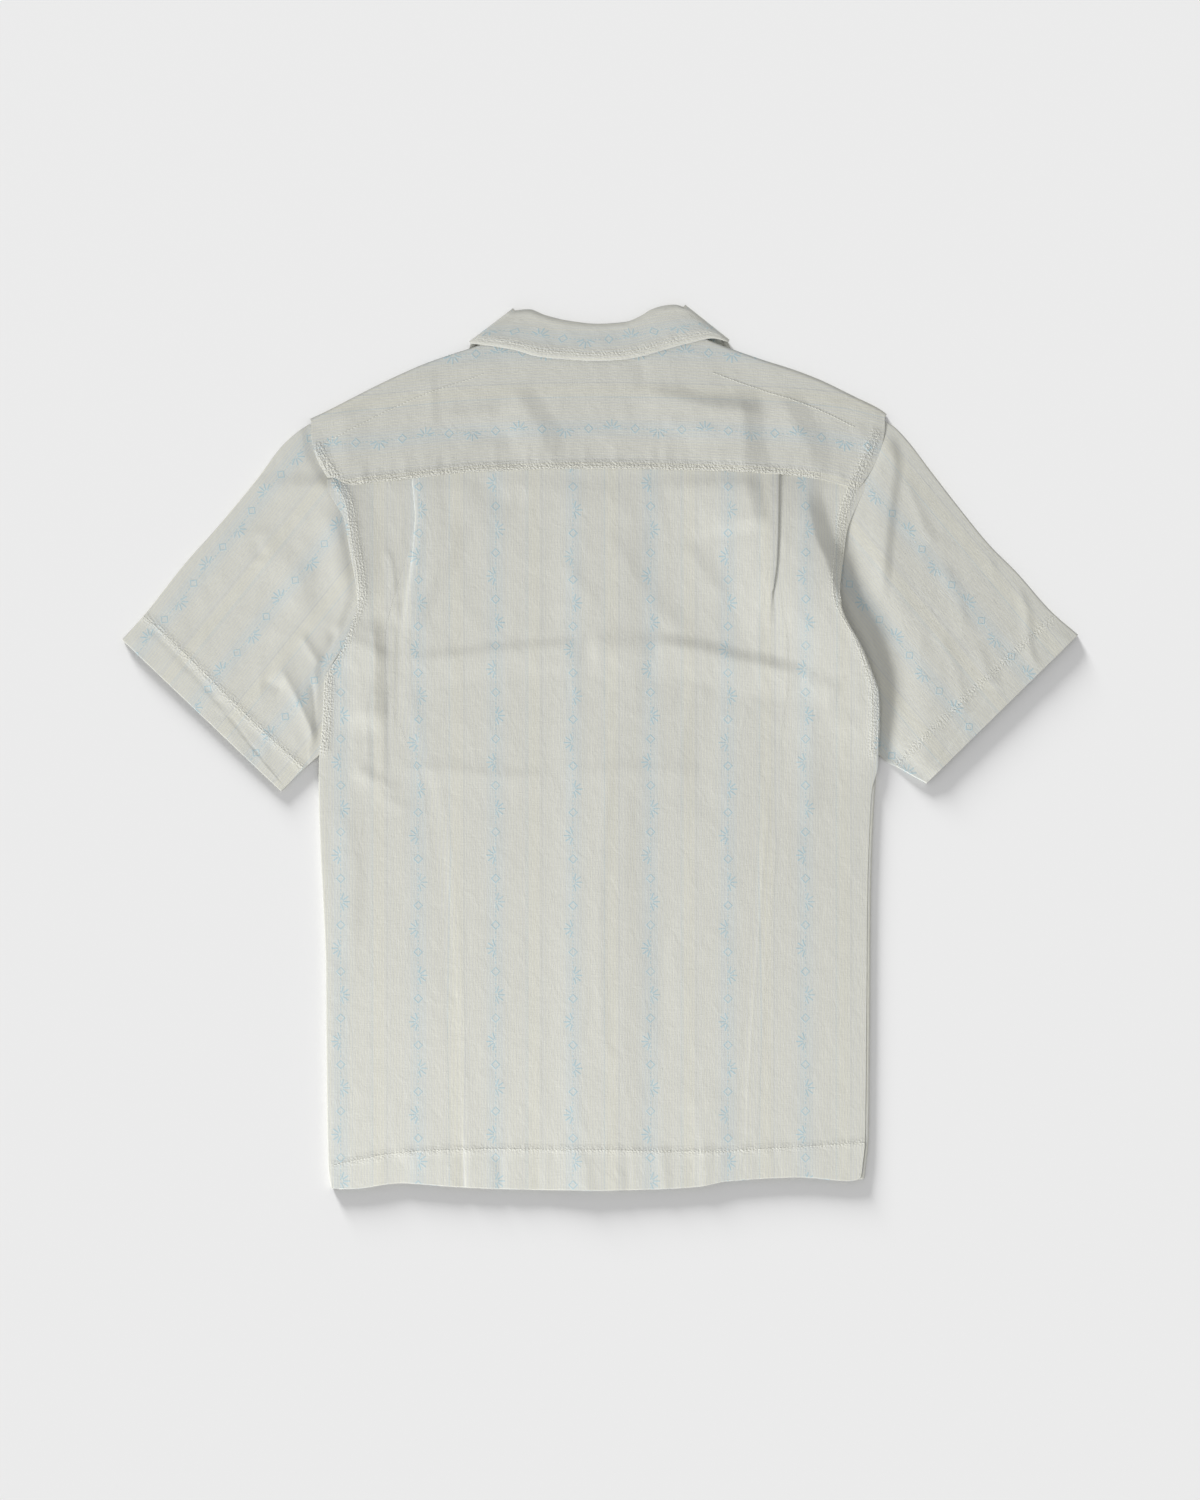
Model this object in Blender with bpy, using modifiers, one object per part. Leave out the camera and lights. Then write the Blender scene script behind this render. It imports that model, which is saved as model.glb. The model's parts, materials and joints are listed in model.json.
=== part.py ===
import math

import bpy
import numpy as np

# A short-sleeved camp collar shirt, laid face down: its back is up, its fronts are on the table.
# X runs across the shirt, Y up to the collar, Z away from the table.
# Tables hold real millimetres, and the meshes are made in metres.

MM = 0.001

# Thicknesses and levels of the cloth layers, from the table up
CLOTH = 1.2
HEM_CLOTH = 1.8
GAP = 0.3
STEP = CLOTH + GAP
BODY_TOP = 5.8
YOKE_TOP = 6.0
FALL_TOP = 8.0
STAND_FACE = 4.6
SLEEVE_END_TOP = 4.2
SLEEVE_TOP = 5.8

# Main sizes of the cut
SIDE_ROLL = 2.9
SIDE_LIP = 3.0
STRIP = 3.2
PLACKET_RISE = 0.8
YOKE_LAP = 10.0
YOKE_LIP = 25.0
SEAM_TUCK = 9.0
PLACKET_HALF = 15.0
BODY_HEM = 30.0
SLEEVE_HEM = 25.0
NECK_TURN = 6.0

# Buttons down the centre front
BUTTON_Y = (180.0, 75.0, -30.0, -135.0, -240.0)
BUTTON_RADIUS = 5.75
BUTTON_THICK = 2.0
BUTTON_LIFT = BUTTON_THICK + GAP

# Edge of the body: armhole seam, underarm bulge and side. Columns: y, x
LEFT_EDGE = (
    (292, -256), (286, -254), (258, -249), (243, -241), (226, -230), (212, -223),
    (180, -217.5), (154, -213), (132, -211), (124, -213.5), (93, -226), (68, -240),
    (26, -242), (-1, -244.5), (-29, -245), (-81, -243.6), (-133, -241),
    (-185, -239), (-264, -238.4), (-368, -236.6), (-390, -233.5),
)
RIGHT_EDGE = (
    (292, 251), (289, 249.5), (270, 243.6), (251, 236), (224, 223.6), (209, 218),
    (198, 215), (174, 212), (143, 209), (132, 210), (96, 228), (73, 236.6),
    (53, 242.7), (33, 243.6), (-4, 242.7), (-46, 239), (-133, 236), (-264, 235),
    (-351, 234), (-390, 230),
)
# Bottom edge of the hem. Columns: x, y
HEM_LINE = (
    (-236, -384), (-217, -384), (-174, -379), (-130, -382), (-87, -384), (0, -385.4),
    (43, -384.5), (87, -382), (109, -377.6), (174, -374), (217, -377), (235, -373),
)
# Seam between yoke and back. Columns: x, y
YOKE_SEAM = (
    (-230, 225), (-222, 227), (-164, 234), (-104, 240), (0, 242.7), (87, 241),
    (152, 238), (187, 234), (225, 224.5),
)
# Back neck seam and shoulder folds. Columns: x, y
SHOULDER = (
    (-254, 285), (-239, 292), (-217.5, 303), (-196, 314), (-174, 324.5), (-152, 334),
    (-130.5, 341.5), (-112, 347.5), (-98, 353), (-84, 358), (-70, 354), (-50, 350.5),
    (0, 349), (50, 350.5), (70, 354), (84, 358), (98, 353), (112, 347.5), (139, 338),
    (169, 328.5), (191, 320), (222, 305), (244, 294), (252, 288),
)
# Edges that fold over: the two centre-back pleats and the pressed creases below them. Columns: y, x
LEFT_PLEAT = ((260, -139), (234, -139), (197, -137.5), (164, -134), (60, -136), (-57, -137), (-390, -119))
RIGHT_PLEAT = ((260, 157), (238, 156), (189, 155), (163, 154), (117, 149), (-35, 148), (-174, 137), (-390, 124))
# How far each pleat laps and how high its fold stands. Columns: y, lap, height
LEFT_PLEAT_LAP = ((260, 8, 3), (234, 7, 3), (190, 3, 3), (168, 0, 3), (148, -4, 1.6), (120, -8, 0.8), (90, -9, 0.5), (-390, -9, 0.5))
RIGHT_PLEAT_LAP = ((260, 10, 3), (238, 9, 3), (180, 5, 3), (140, 1, 3), (120, -4, 1.6), (95, -8, 0.8), (60, -9, 0.5), (-390, -9, 0.5))

# Large folds of the back. Columns: name, points, half width, height
BACK_FOLDS = (
    ("armhole_left_deep", ((-203, 226), (-207, 150), (-212, 130)), 9, 2.0),
    ("pleat_left_ridge", ((-164, 236), (-161, 197), (-163, 163), (-172, 100), (-176, 60)), 8, 1.8),
    ("left_long_crease", ((-198, 92), (-190, 8), (-198, -22)), 10, 1.8),
    ("left_short_crease", ((-216, -30), (-198, -53), (-176, -66)), 9, 1.6),
    ("shoulder_blade_left", ((-118, 190), (-150, 120), (-170, 95)), 12, 1.6),
    ("across_left", ((-168, 76), (-128, 77), (-90, 84), (-32, 94)), 9, 2.6),
    ("across_right", ((20, 94), (60, 92), (115, 80), (170, 60), (196, 44)), 9, 2.4),
    ("across_trough", ((-120, 62), (-60, 72), (0, 76), (90, 70), (150, 50)), 12, -1.0),
    ("waist_crease", ((-190, -28), (-90, -22), (0, -24), (105, -24)), 8, 1.0),
    ("right_crease", ((148, -35), (137, -174), (125, -375)), 8, 1.0),
    ("left_crease", ((-136, -57), (-128, -200), (-119, -375)), 8, 1.0),
    ("bulge_right", ((172, 214), (186, 160), (204, 124), (226, 92), (236, 50), (236, 0)), 13, 3.0),
    ("bulge_right_valley", ((160, 214), (174, 150), (190, 112), (210, 70), (222, 30), (226, 0)), 8, -1.1),
    ("bulge_left", ((-206, 128), (-222, 90), (-234, 60), (-235, 10)), 11, 2.0),
    ("right_back_fold", ((176, 100), (188, 20), (182, -60)), 12, 1.4),
    ("hem_pull_left", ((-119, -340), (-117, -384)), 8, 1.6),
    ("hem_pull_mid", ((-52, -345), (-56, -384)), 8, 1.0),
    ("hem_pull_right", ((100, -330), (108, -380)), 9, 1.6),
)
YOKE_FOLDS = (
    ("yoke_left_slant", ((-64, 300), (-34, 252)), 8, 1.2),
    ("yoke_right_slant", ((34, 326), (88, 312), (142, 298)), 9, 1.4),
    ("yoke_right_down", ((144, 300), (144, 244)), 8, 1.2),
    ("yoke_right_dark", ((170, 298), (200, 246)), 9, 1.4),
    ("yoke_left_down", ((-218, 296), (-216, 240)), 9, 1.2),
    ("yoke_left_shade", ((-190, 302), (-64, 330)), 10, 1.0),
)
SLEEVE_LEFT_FOLDS = (
    ("middle_ridge", ((-270, 150), (-300, 90), (-330, 40)), 14, 1.6),
    ("low_ridge", ((-244, 60), (-262, 20), (-282, -16)), 9, 2.0),
    ("low_crease", ((-278, 48), (-262, 16), (-246, -6)), 8, 1.4),
    ("upper_soft", ((-262, 230), (-300, 180), (-350, 120)), 16, 1.2),
)
SLEEVE_RIGHT_FOLDS = (
    ("down_fold", ((254, 264), (262, 190), (258, 120)), 12, 2.0),
    ("streak", ((264, 210), (284, 174), (300, 172)), 9, 1.4),
    ("middle", ((262, 90), (272, 40), (284, 0)), 11, 1.8),
    ("cuff_pull", ((350, 130), (344, 80), (336, 40)), 11, 1.4),
)

# Collar: the roll line seen from behind, the free edge of the fall. Columns: x, y
COLLAR_ROLL = (
    (-74, 380), (-62, 381), (-48, 376), (-27, 371), (-2, 368.4), (22, 370), (35, 375),
    (44, 380.5), (55, 384), (65, 385), (72.5, 383),
)
COLLAR_EDGE = (
    (-112, 351), (-92, 348.5), (-74, 345.4), (-55, 340), (-34, 337.6), (-3.5, 336), (16, 336.7),
    (36.5, 340), (57, 346), (76, 351), (98, 355.5), (111, 352.5),
)
# Front leaf of the collar, left side. Columns: roll x, roll y, edge x, edge y, neck seam x, neck seam y
COLLAR_LEAF = (
    (-75, 376, -114, 346, -86, 356),
    (-72, 366, -116, 333, -82, 340),
    (-66, 346, -117, 312, -72, 331),
    (-58, 324, -116, 290, -62, 317),
    (-50, 304, -113, 268, -53, 304.5),
)
# Turned-back lapel, left side. Columns: roll x, roll y, edge x, edge y
LAPEL = (
    (-49, 302.4, -78, 286.4),
    (-44.5, 292, -84, 270),
    (-40, 283, -90, 255),
    (-28, 258, -66, 240),
    (-18, 238, -36, 229),
    (-10, 222, -16, 219),
)
# Ground under which the front is lifted off the table by collar leaf and lapel, left side
LEAF_ZONE = ((-74, 380), (-118, 350), (-119, 264), (-92, 250), (-8, 208), (-4, 214), (-44, 302))
# Centre edge of a front, left side: neck seam, lapel fold, then the button edge. Columns: y, x
FRONT_NECK = ((336, -79), (331, -74), (317, -64), (304, -54), (283, -41.5), (258, -30), (238, -20.5), (220, -12), (206, 2), (198, 12), (190, 15))

# Fold edges and cuffs of the sleeves, from the shoulder seam out. Points: x, y
LEFT_UPPER = ((-253.5, 281), (-262, 275.5), (-278, 261), (-298, 234), (-328, 197.5), (-362, 159), (-398.5, 113), (-416, 94))
LEFT_LOWER = ((-244.5, -7), (-251, -13), (-258, -19), (-268, -29), (-277.5, -38))
RIGHT_UPPER = ((250, 283), (256, 279), (264.5, 270.6), (289, 239), (313, 208), (340, 175), (362, 153), (394, 117), (416, 98))
RIGHT_LOWER = ((243, -6), (252, -10), (264, -16), (276, -22), (288, -27.4))
RIGHT_LOWER_UNDER = ((243, -7), (250, -13), (260, -18), (272, -25), (284, -31.5))


# Small maths helpers
def table(rows, value, column=1):
    """Column of a table at a value of its first column."""
    rows = sorted(rows)
    return np.interp(value, [row[0] for row in rows], [row[column] for row in rows])


def smooth(low, high, value):
    t = np.clip((np.asarray(value, float) - low) / (high - low), 0.0, 1.0)
    return t * t * (3.0 - 2.0 * t)


def along(points, t):
    """Points at shares t of a polyline's length."""
    points = np.asarray(points, float)
    steps = np.hypot(*np.diff(points, axis=0).T)
    run = np.concatenate([[0.0], np.cumsum(steps)]) / steps.sum()
    return np.stack([np.interp(t, run, points[:, 0]), np.interp(t, run, points[:, 1])], axis=-1)


def line_distance(x, y, points):
    """Distance to a polyline, and the share of its length where the nearest point lies."""
    best = np.full(np.shape(x), 1e9)
    share = np.zeros(np.shape(x))
    run = 0.0
    for (ax, ay), (bx, by) in zip(points, points[1:]):
        dx, dy = bx - ax, by - ay
        length = math.hypot(dx, dy)
        t = np.clip(((x - ax) * dx + (y - ay) * dy) / length**2, 0.0, 1.0)
        d = np.hypot(x - ax - t * dx, y - ay - t * dy)
        share = np.where(d < best, run + t * length, share)
        best = np.minimum(best, d)
        run += length
    return best, share / run


def folds_height(x, y, folds):
    """Sum of soft ridges and troughs along the polylines of a fold table."""
    z = np.zeros(np.shape(x))
    for _, points, width, height in folds:
        d, share = line_distance(x, y, points)
        fade = np.sin(np.pi * np.clip(share, 0.02, 0.98)) ** 0.5
        z += height * fade * np.exp(-((d / width) ** 2))
    return z


def zone_distance(x, y, zone):
    """Distance outside a closed polygon, and 0 inside it."""
    inside = np.zeros(np.shape(x), bool)
    for (ax, ay), (bx, by) in zip(zone, zone[1:] + zone[:1]):
        crosses = (ay > y) != (by > y)
        at = (bx - ax) * (y - ay) / ((by - ay) or 1e-9) + ax
        inside ^= crosses & (x < at)
    d, _ = line_distance(x, y, zone + zone[:1])
    return np.where(inside, 0.0, d)


def mirrored(points):
    return tuple((-x, y) for x, y in points)


# Levels of the lower layers
def leaf_lift(x, y):
    """Height of a front or yoke lip above the table where collar leaf and lapel lie under it."""
    d = np.minimum(zone_distance(x, y, LEAF_ZONE), zone_distance(x, y, mirrored(LEAF_ZONE)))
    return STEP * (1.0 - smooth(14, 32, d))


def button_lift(x, y, spread):
    """Height of the cloth over the buttons, which stand between it and the table."""
    lift = np.zeros(np.shape(x))
    for centre in BUTTON_Y:
        near = 1.0 - smooth(9, 30, np.abs(y - centre))
        lift = np.maximum(lift, near)
    return BUTTON_LIFT * lift * (1.0 - smooth(9, spread, np.abs(x)))


def cloth_at(y, hem_y, band):
    """Thickness of the cloth: the hem is turned up and so thicker."""
    return CLOTH + (HEM_CLOTH - CLOTH) * (np.asarray(y, float) < hem_y + band + 0.5)


# Mesh and scene helpers
def make_collection(name):
    collection = bpy.data.collections.new(name)
    bpy.context.scene.collection.children.link(collection)
    return collection


def make_material(name, colour, roughness):
    material = bpy.data.materials.new(name)
    material.use_nodes = True
    shader = material.node_tree.nodes["Principled BSDF"]
    shader.inputs["Base Color"].default_value = (*colour, 1.0)
    shader.inputs["Roughness"].default_value = roughness
    return material


def make_sheet(name, grid, material, thick=None, ring=False, flip=False):
    """A shell on a grid of outer-face points: rows, columns, xyz in millimetres."""
    rows, columns = grid.shape[:2]
    points = (grid.reshape(-1, 3) * MM).tolist()
    faces = []
    for r in range(rows - 1):
        for c in range(columns if ring else columns - 1):
            d = (c + 1) % columns
            face = (r * columns + c, r * columns + d, (r + 1) * columns + d, (r + 1) * columns + c)
            faces.append(face[::-1] if flip else face)
    mesh = bpy.data.meshes.new(name)
    mesh.from_pydata(points, [], faces)
    mesh.update()
    mesh.materials.append(material)
    obj = bpy.data.objects.new(name, mesh)
    shirt.objects.link(obj)
    solidify = obj.modifiers.new("Cloth", "SOLIDIFY")
    solidify.thickness = CLOTH * MM
    solidify.offset = -1.0
    if thick is not None:
        group = obj.vertex_groups.new(name="thickness")
        solidify.thickness = HEM_CLOTH * MM
        solidify.vertex_group = "thickness"
        for index, value in enumerate(np.asarray(thick).reshape(-1)):
            group.add([index], float(value) / HEM_CLOTH, "REPLACE")
    for polygon in mesh.polygons:
        polygon.use_smooth = True
    return obj


for old in list(bpy.data.objects):
    bpy.data.objects.remove(old, do_unlink=True)
shirt = make_collection("camp_collar_shirt")
cutters = make_collection("cutters")
cutters.hide_render = True

back_cloth = make_material("back cloth", (0.62, 0.63, 0.58), 0.85)
yoke_cloth = make_material("yoke cloth", (0.58, 0.61, 0.57), 0.85)
front_cloth = make_material("front cloth", (0.60, 0.61, 0.56), 0.85)
sleeve_cloth = make_material("sleeve cloth", (0.60, 0.61, 0.57), 0.85)
collar_cloth = make_material("collar cloth", (0.61, 0.62, 0.57), 0.85)
button_shell = make_material("button shell", (0.78, 0.76, 0.70), 0.35)


# Back panel
BACK_ROWS = (
    250, 238, 226, 208, 190, 168, 148, 130, 112, 98, 86, 74, 60, 38, 14, -12, -24, -36,
    -70, -120, -180, -240, -300, -340, -355.5, -357, -386,
)


def pleat_bump(x, y):
    """How far the centre panel stands up beside the pleat folds."""
    left = table(LEFT_PLEAT, y)
    right = table(RIGHT_PLEAT, y)
    high_left = table(LEFT_PLEAT_LAP, y, 2) * (1.0 - smooth(2, 34, x - left))
    high_right = table(RIGHT_PLEAT_LAP, y, 2) * (1.0 - smooth(2, 34, right - x))
    inside = (x >= left) & (x <= right)
    return np.where(inside, np.maximum(high_left, high_right), 0.0)


def back_level(x, y):
    """Outer face of the back without its pleats."""
    left = table(LEFT_EDGE, y)
    right = table(RIGHT_EDGE, y)
    edge = np.minimum(x - left, right - x)
    calm = smooth(4, 22, edge)
    under_yoke = 1.0 - smooth(222, 236, y)
    over_placket = 1.0 - smooth(18, 46, np.abs(x))
    folds = folds_height(x, y, BACK_FOLDS) * calm * under_yoke
    over_placket = over_placket * (1.0 - smooth(208, 236, y))
    return BODY_TOP + np.maximum(folds, -1.1 * (1.0 - over_placket)) + PLACKET_RISE * over_placket


def pleat_path(edge, lap, height, side):
    """Eight offsets and levels of a knife pleat, from the under cloth to the upper; side 1 laps to the left."""
    stand = height / 3.0
    low = 0.3 * stand
    path = [
        (lap - 6.0, 0.0), (lap - 0.6, 0.0), (lap, 0.5 * low), (lap - 0.6, low),
        (1.2, low), (-0.15, 0.55 * height), (1.2, height), (7.0, height),
    ]
    if lap < 1.5:
        path[3] = (lap + 0.5, low)
        path[4] = (0.3, 0.5 * height)
        path[5] = (0.8, 0.75 * height)
        path[6] = (1.8, height)
    return [(edge + side * x, z) for x, z in path]


def back_row(y):
    """Outer face of one row of the back, from the left side lip to the right side edge."""
    left = float(table(LEFT_EDGE, y))
    right = float(table(RIGHT_EDGE, y))
    curl = float(1.0 - smooth(-36, -12, y))
    fold_left = float(table(LEFT_PLEAT, y))
    fold_right = float(table(RIGHT_PLEAT, y))
    roll = math.pi * SIDE_ROLL
    flat = roll + SIDE_LIP
    start = left + curl * SIDE_ROLL + (1.0 - curl) * flat
    row = []
    for share in (1.0, 0.78, 0.62, 0.46, 0.31, 0.16):
        s = flat * share
        angle = math.pi * curl * min(s / roll, 1.0)
        lip = max(s - roll, 0.0)
        if curl < 0.01:
            row.append((start - s, BODY_TOP))
            continue
        radius = SIDE_ROLL / curl
        x = start - radius * math.sin(angle) - lip * math.cos(math.pi * curl)
        z = BODY_TOP - radius * (1.0 - math.cos(angle)) - lip * math.sin(math.pi * curl)
        row.append((x, max(z, BODY_TOP - 2 * SIDE_ROLL)))
    left_pleat = pleat_path(fold_left, float(table(LEFT_PLEAT_LAP, y)), float(table(LEFT_PLEAT_LAP, y, 2)), 1)
    right_pleat = pleat_path(fold_right, float(table(RIGHT_PLEAT_LAP, y)), float(table(RIGHT_PLEAT_LAP, y, 2)), -1)
    for x in np.linspace(start, left_pleat[0][0], 8)[:-1]:
        row.append((x, float(back_level(x, y))))
    for x, lift in left_pleat:
        row.append((x, float(back_level(fold_left, y)) + lift))
    for x in np.linspace(left_pleat[-1][0], right_pleat[-1][0], 16)[1:-1]:
        row.append((x, float(back_level(x, y) + pleat_bump(x, y))))
    for x, lift in right_pleat[::-1]:
        row.append((x, float(back_level(fold_right, y)) + lift))
    # The right edge meets the strip of front that wraps up over the side
    end = right - curl * (STRIP + 2 * GAP)
    for x in np.linspace(right_pleat[0][0], end, 8)[1:]:
        row.append((x, float(back_level(x, y))))
    return row


def back_grid():
    rows = []
    top, bottom = BACK_ROWS[0], BACK_ROWS[-1]
    for y in BACK_ROWS:
        down = (top - y) / (top - bottom)
        row = []
        for x, z in back_row(y):
            seam = float(table(YOKE_SEAM, x)) + YOKE_LAP
            hem = float(table(HEM_LINE, x))
            row.append((x, seam * (1.0 - down) + hem * down + (y - top * (1.0 - down) - bottom * down), z))
        rows.append(row)
    return np.array(rows)


grid = back_grid()
make_sheet("back", grid, back_cloth, thick=cloth_at(grid[..., 1], -384, BODY_HEM), flip=True)


# Yoke: laps the back, rolls over the shoulders, and turns under along the neck
def yoke_grid():
    rows = []
    shares = np.array([
        0, 0.02, 0.05, 0.1, 0.15, 0.185, 0.2, 0.215, 0.25, 0.29, 0.33, 0.36, 0.4, 0.45, 0.5, 0.55,
        0.6, 0.64, 0.67, 0.71, 0.76, 0.8, 0.83, 0.848, 0.866, 0.9, 0.95, 0.98, 1.0,
    ])
    low_x = -230 + 455 * shares
    high_x = -253 + 503 * shares
    side = np.where(shares < 0.5, -1.0, 1.0)
    end = np.clip(1.0 - np.minimum(shares, 1.0 - shares) / 0.12, 0.0, 1.0)
    seam = table(YOKE_SEAM, low_x)
    top = table(SHOULDER, high_x)
    neck = 1.0 - smooth(84, 104, np.abs(high_x))
    ground = leaf_lift(high_x, top)
    lip_level = ground * (1.0 - neck) + (YOKE_TOP - 2.7) * neck
    radius = (YOKE_TOP - lip_level) / 2.0
    lip = NECK_TURN * neck + YOKE_LIP * (1.0 - neck)
    slope = np.gradient(top, high_x)
    nx, ny = -slope / np.hypot(slope, 1), 1 / np.hypot(slope, 1)
    # The lapped strip stands on the back and its pleats
    pleats = np.max([pleat_bump(low_x + dx, 240.0) for dx in (-6, -3, 0, 3, 6)], axis=0)
    for w in (0.0, 0.035, 0.1, 0.17, 0.3, 0.45, 0.6, 0.75, 0.88, 0.96):
        x = low_x + (high_x - low_x) * w + side * end * 7.0 * 4 * w * (1 - w)
        reach = top - radius * ny
        y = seam + (reach - seam) * w
        x = x - nx * radius * w
        lapped = 1.0 - smooth(0.1, 0.4, w)
        base = (BODY_TOP + GAP + CLOTH + pleats + 0.25) * lapped + YOKE_TOP * (1.0 - lapped)
        calm = smooth(0.0, 0.1, np.minimum(shares, 1 - shares)) * smooth(0.05, 0.25, w) * (1 - smooth(0.7, 0.9, w))
        rows.append(np.stack([x, y, base + folds_height(x, y, YOKE_FOLDS) * calm], axis=-1))
    for angle in (0.0, 40.0, 90.0, 140.0, 180.0):
        a = math.radians(angle)
        out = radius * (math.sin(a) - 1.0)
        x = high_x + nx * out
        y = top + ny * out
        rows.append(np.stack([x, y, YOKE_TOP - radius * (1.0 - math.cos(a))], axis=-1))
    for w in (0.35, 0.7, 1.0):
        x = high_x - nx * radius
        y = top - ny * radius - (lip - radius) * w
        drop = np.maximum(leaf_lift(x, y), 0.0) * (1.0 - neck) + lip_level * neck
        x = np.clip(x, table(LEFT_EDGE, y) + 1.0, table(RIGHT_EDGE, y) - 1.0)
        rows.append(np.stack([x, y, drop], axis=-1))
    return np.array(rows)


make_sheet("yoke", yoke_grid(), yoke_cloth)


# Fronts. Rows: y at the armhole or side, y at the centre edge
FRONT_ROWS = (
    (259.5, 335), (248, 320), (236, 304), (222, 284), (207, 262), (193, 238), (180, 220), (172, 206),
    (168, 198), (163, 189), (150, 171), (138, 150), (105, 105), (84, 84), (66, 66), (45, 45), (0, 0),
    (-12, -12), (-22, -21), (-36, -39), (-60, -60), (-105, -105), (-126, -126), (-144, -144),
    (-165, -165), (-210, -210), (-231, -231), (-249, -249), (-270, -270), (-310, -310),
    (-352, -352), (-354, -354), (-383, -383),
)
FRONT_SHARES = (0.0, 0.05, 0.17, 0.33, 0.5, 0.66, 0.78, 0.824, 0.868, 0.912, 0.956, 1.0)


def front_grid(mirror):
    """Outer face of a front, drawn for the left and mirrored for the right, from the armhole to the centre edge."""
    sign = -1.0 if mirror else 1.0
    edge_table = [(y, -x) for y, x in RIGHT_EDGE] if mirror else LEFT_EDGE
    rows = []
    for y_side, y_mid in FRONT_ROWS:
        curl = float(1.0 - smooth(-36, -14, y_side))
        edge = float(table(edge_table, y_side))
        if mirror:
            start = edge + curl * (SIDE_ROLL - 0.3) + (1.0 - curl) * 1.0
        else:
            start = edge + curl * (SIDE_ROLL + SIDE_LIP + GAP) + (1.0 - curl) * 1.0
        centre = float(table(FRONT_NECK, y_mid)) if y_mid > 190 else PLACKET_HALF
        row = []
        if mirror:
            # The right front rolls up round the side and shows as a narrow strip on the back
            radius = SIDE_ROLL - 0.3
            for angle, lip in ((180.0, 0.35), (135.0, 0.0), (90.0, 0.0), (45.0, 0.0)):
                a = math.radians(angle) * curl
                step = 2.2 * angle / 45.0 + lip
                x = start - radius * math.sin(a) * curl - (1 - curl) * 0.0 + lip * curl
                z = radius * (1.0 - math.cos(a))
                if curl < 0.5:
                    x = start + 1.2 * (1.0 - angle / 45.0 * 0.25) - 1.0
                    z = 0.0
                row.append((x, y_side, z, step))
        points = []
        for share in FRONT_SHARES:
            if share <= 0.78:
                x = start + (centre - 30.0 - start) * share / 0.78 if share > 0 else start
            else:
                x = centre - 30.0 + (30.0 if mirror else 29.5) * (share - 0.78) / 0.22
            if share == 0 and mirror and curl < 0.5:
                x = start + 1.5
            y = y_side + (y_mid - y_side) * share
            points.append((x, y))
        for x, y in points:
            hem = float(table([(sign * a, b) for a, b in HEM_LINE], x)) + 2.0
            down = smooth(-300, -383, y)
            y = y + (hem + 383.0) * float(down)
            z = float(np.maximum(leaf_lift(x, y), button_lift(x, y, 26)))
            if mirror:
                over = 1.0 - smooth(15.6, 19.5, -x)
                below = smooth(212, 220, y)
                z = z + float(over) * STEP * (1.0 - float(below)) + float(over) * (HEM_CLOTH - CLOTH) * (y < -349)
            row.append((x, y, z, 0.0))
        rows.append([(sign * x, y, z) for x, y, z, _ in row])
    return np.array(rows)


for name, mirror in (("front_left", False), ("front_right", True)):
    grid = front_grid(mirror)
    make_sheet(name, grid, front_cloth, thick=cloth_at(grid[..., 1], -382, BODY_HEM), flip=mirror)


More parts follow.
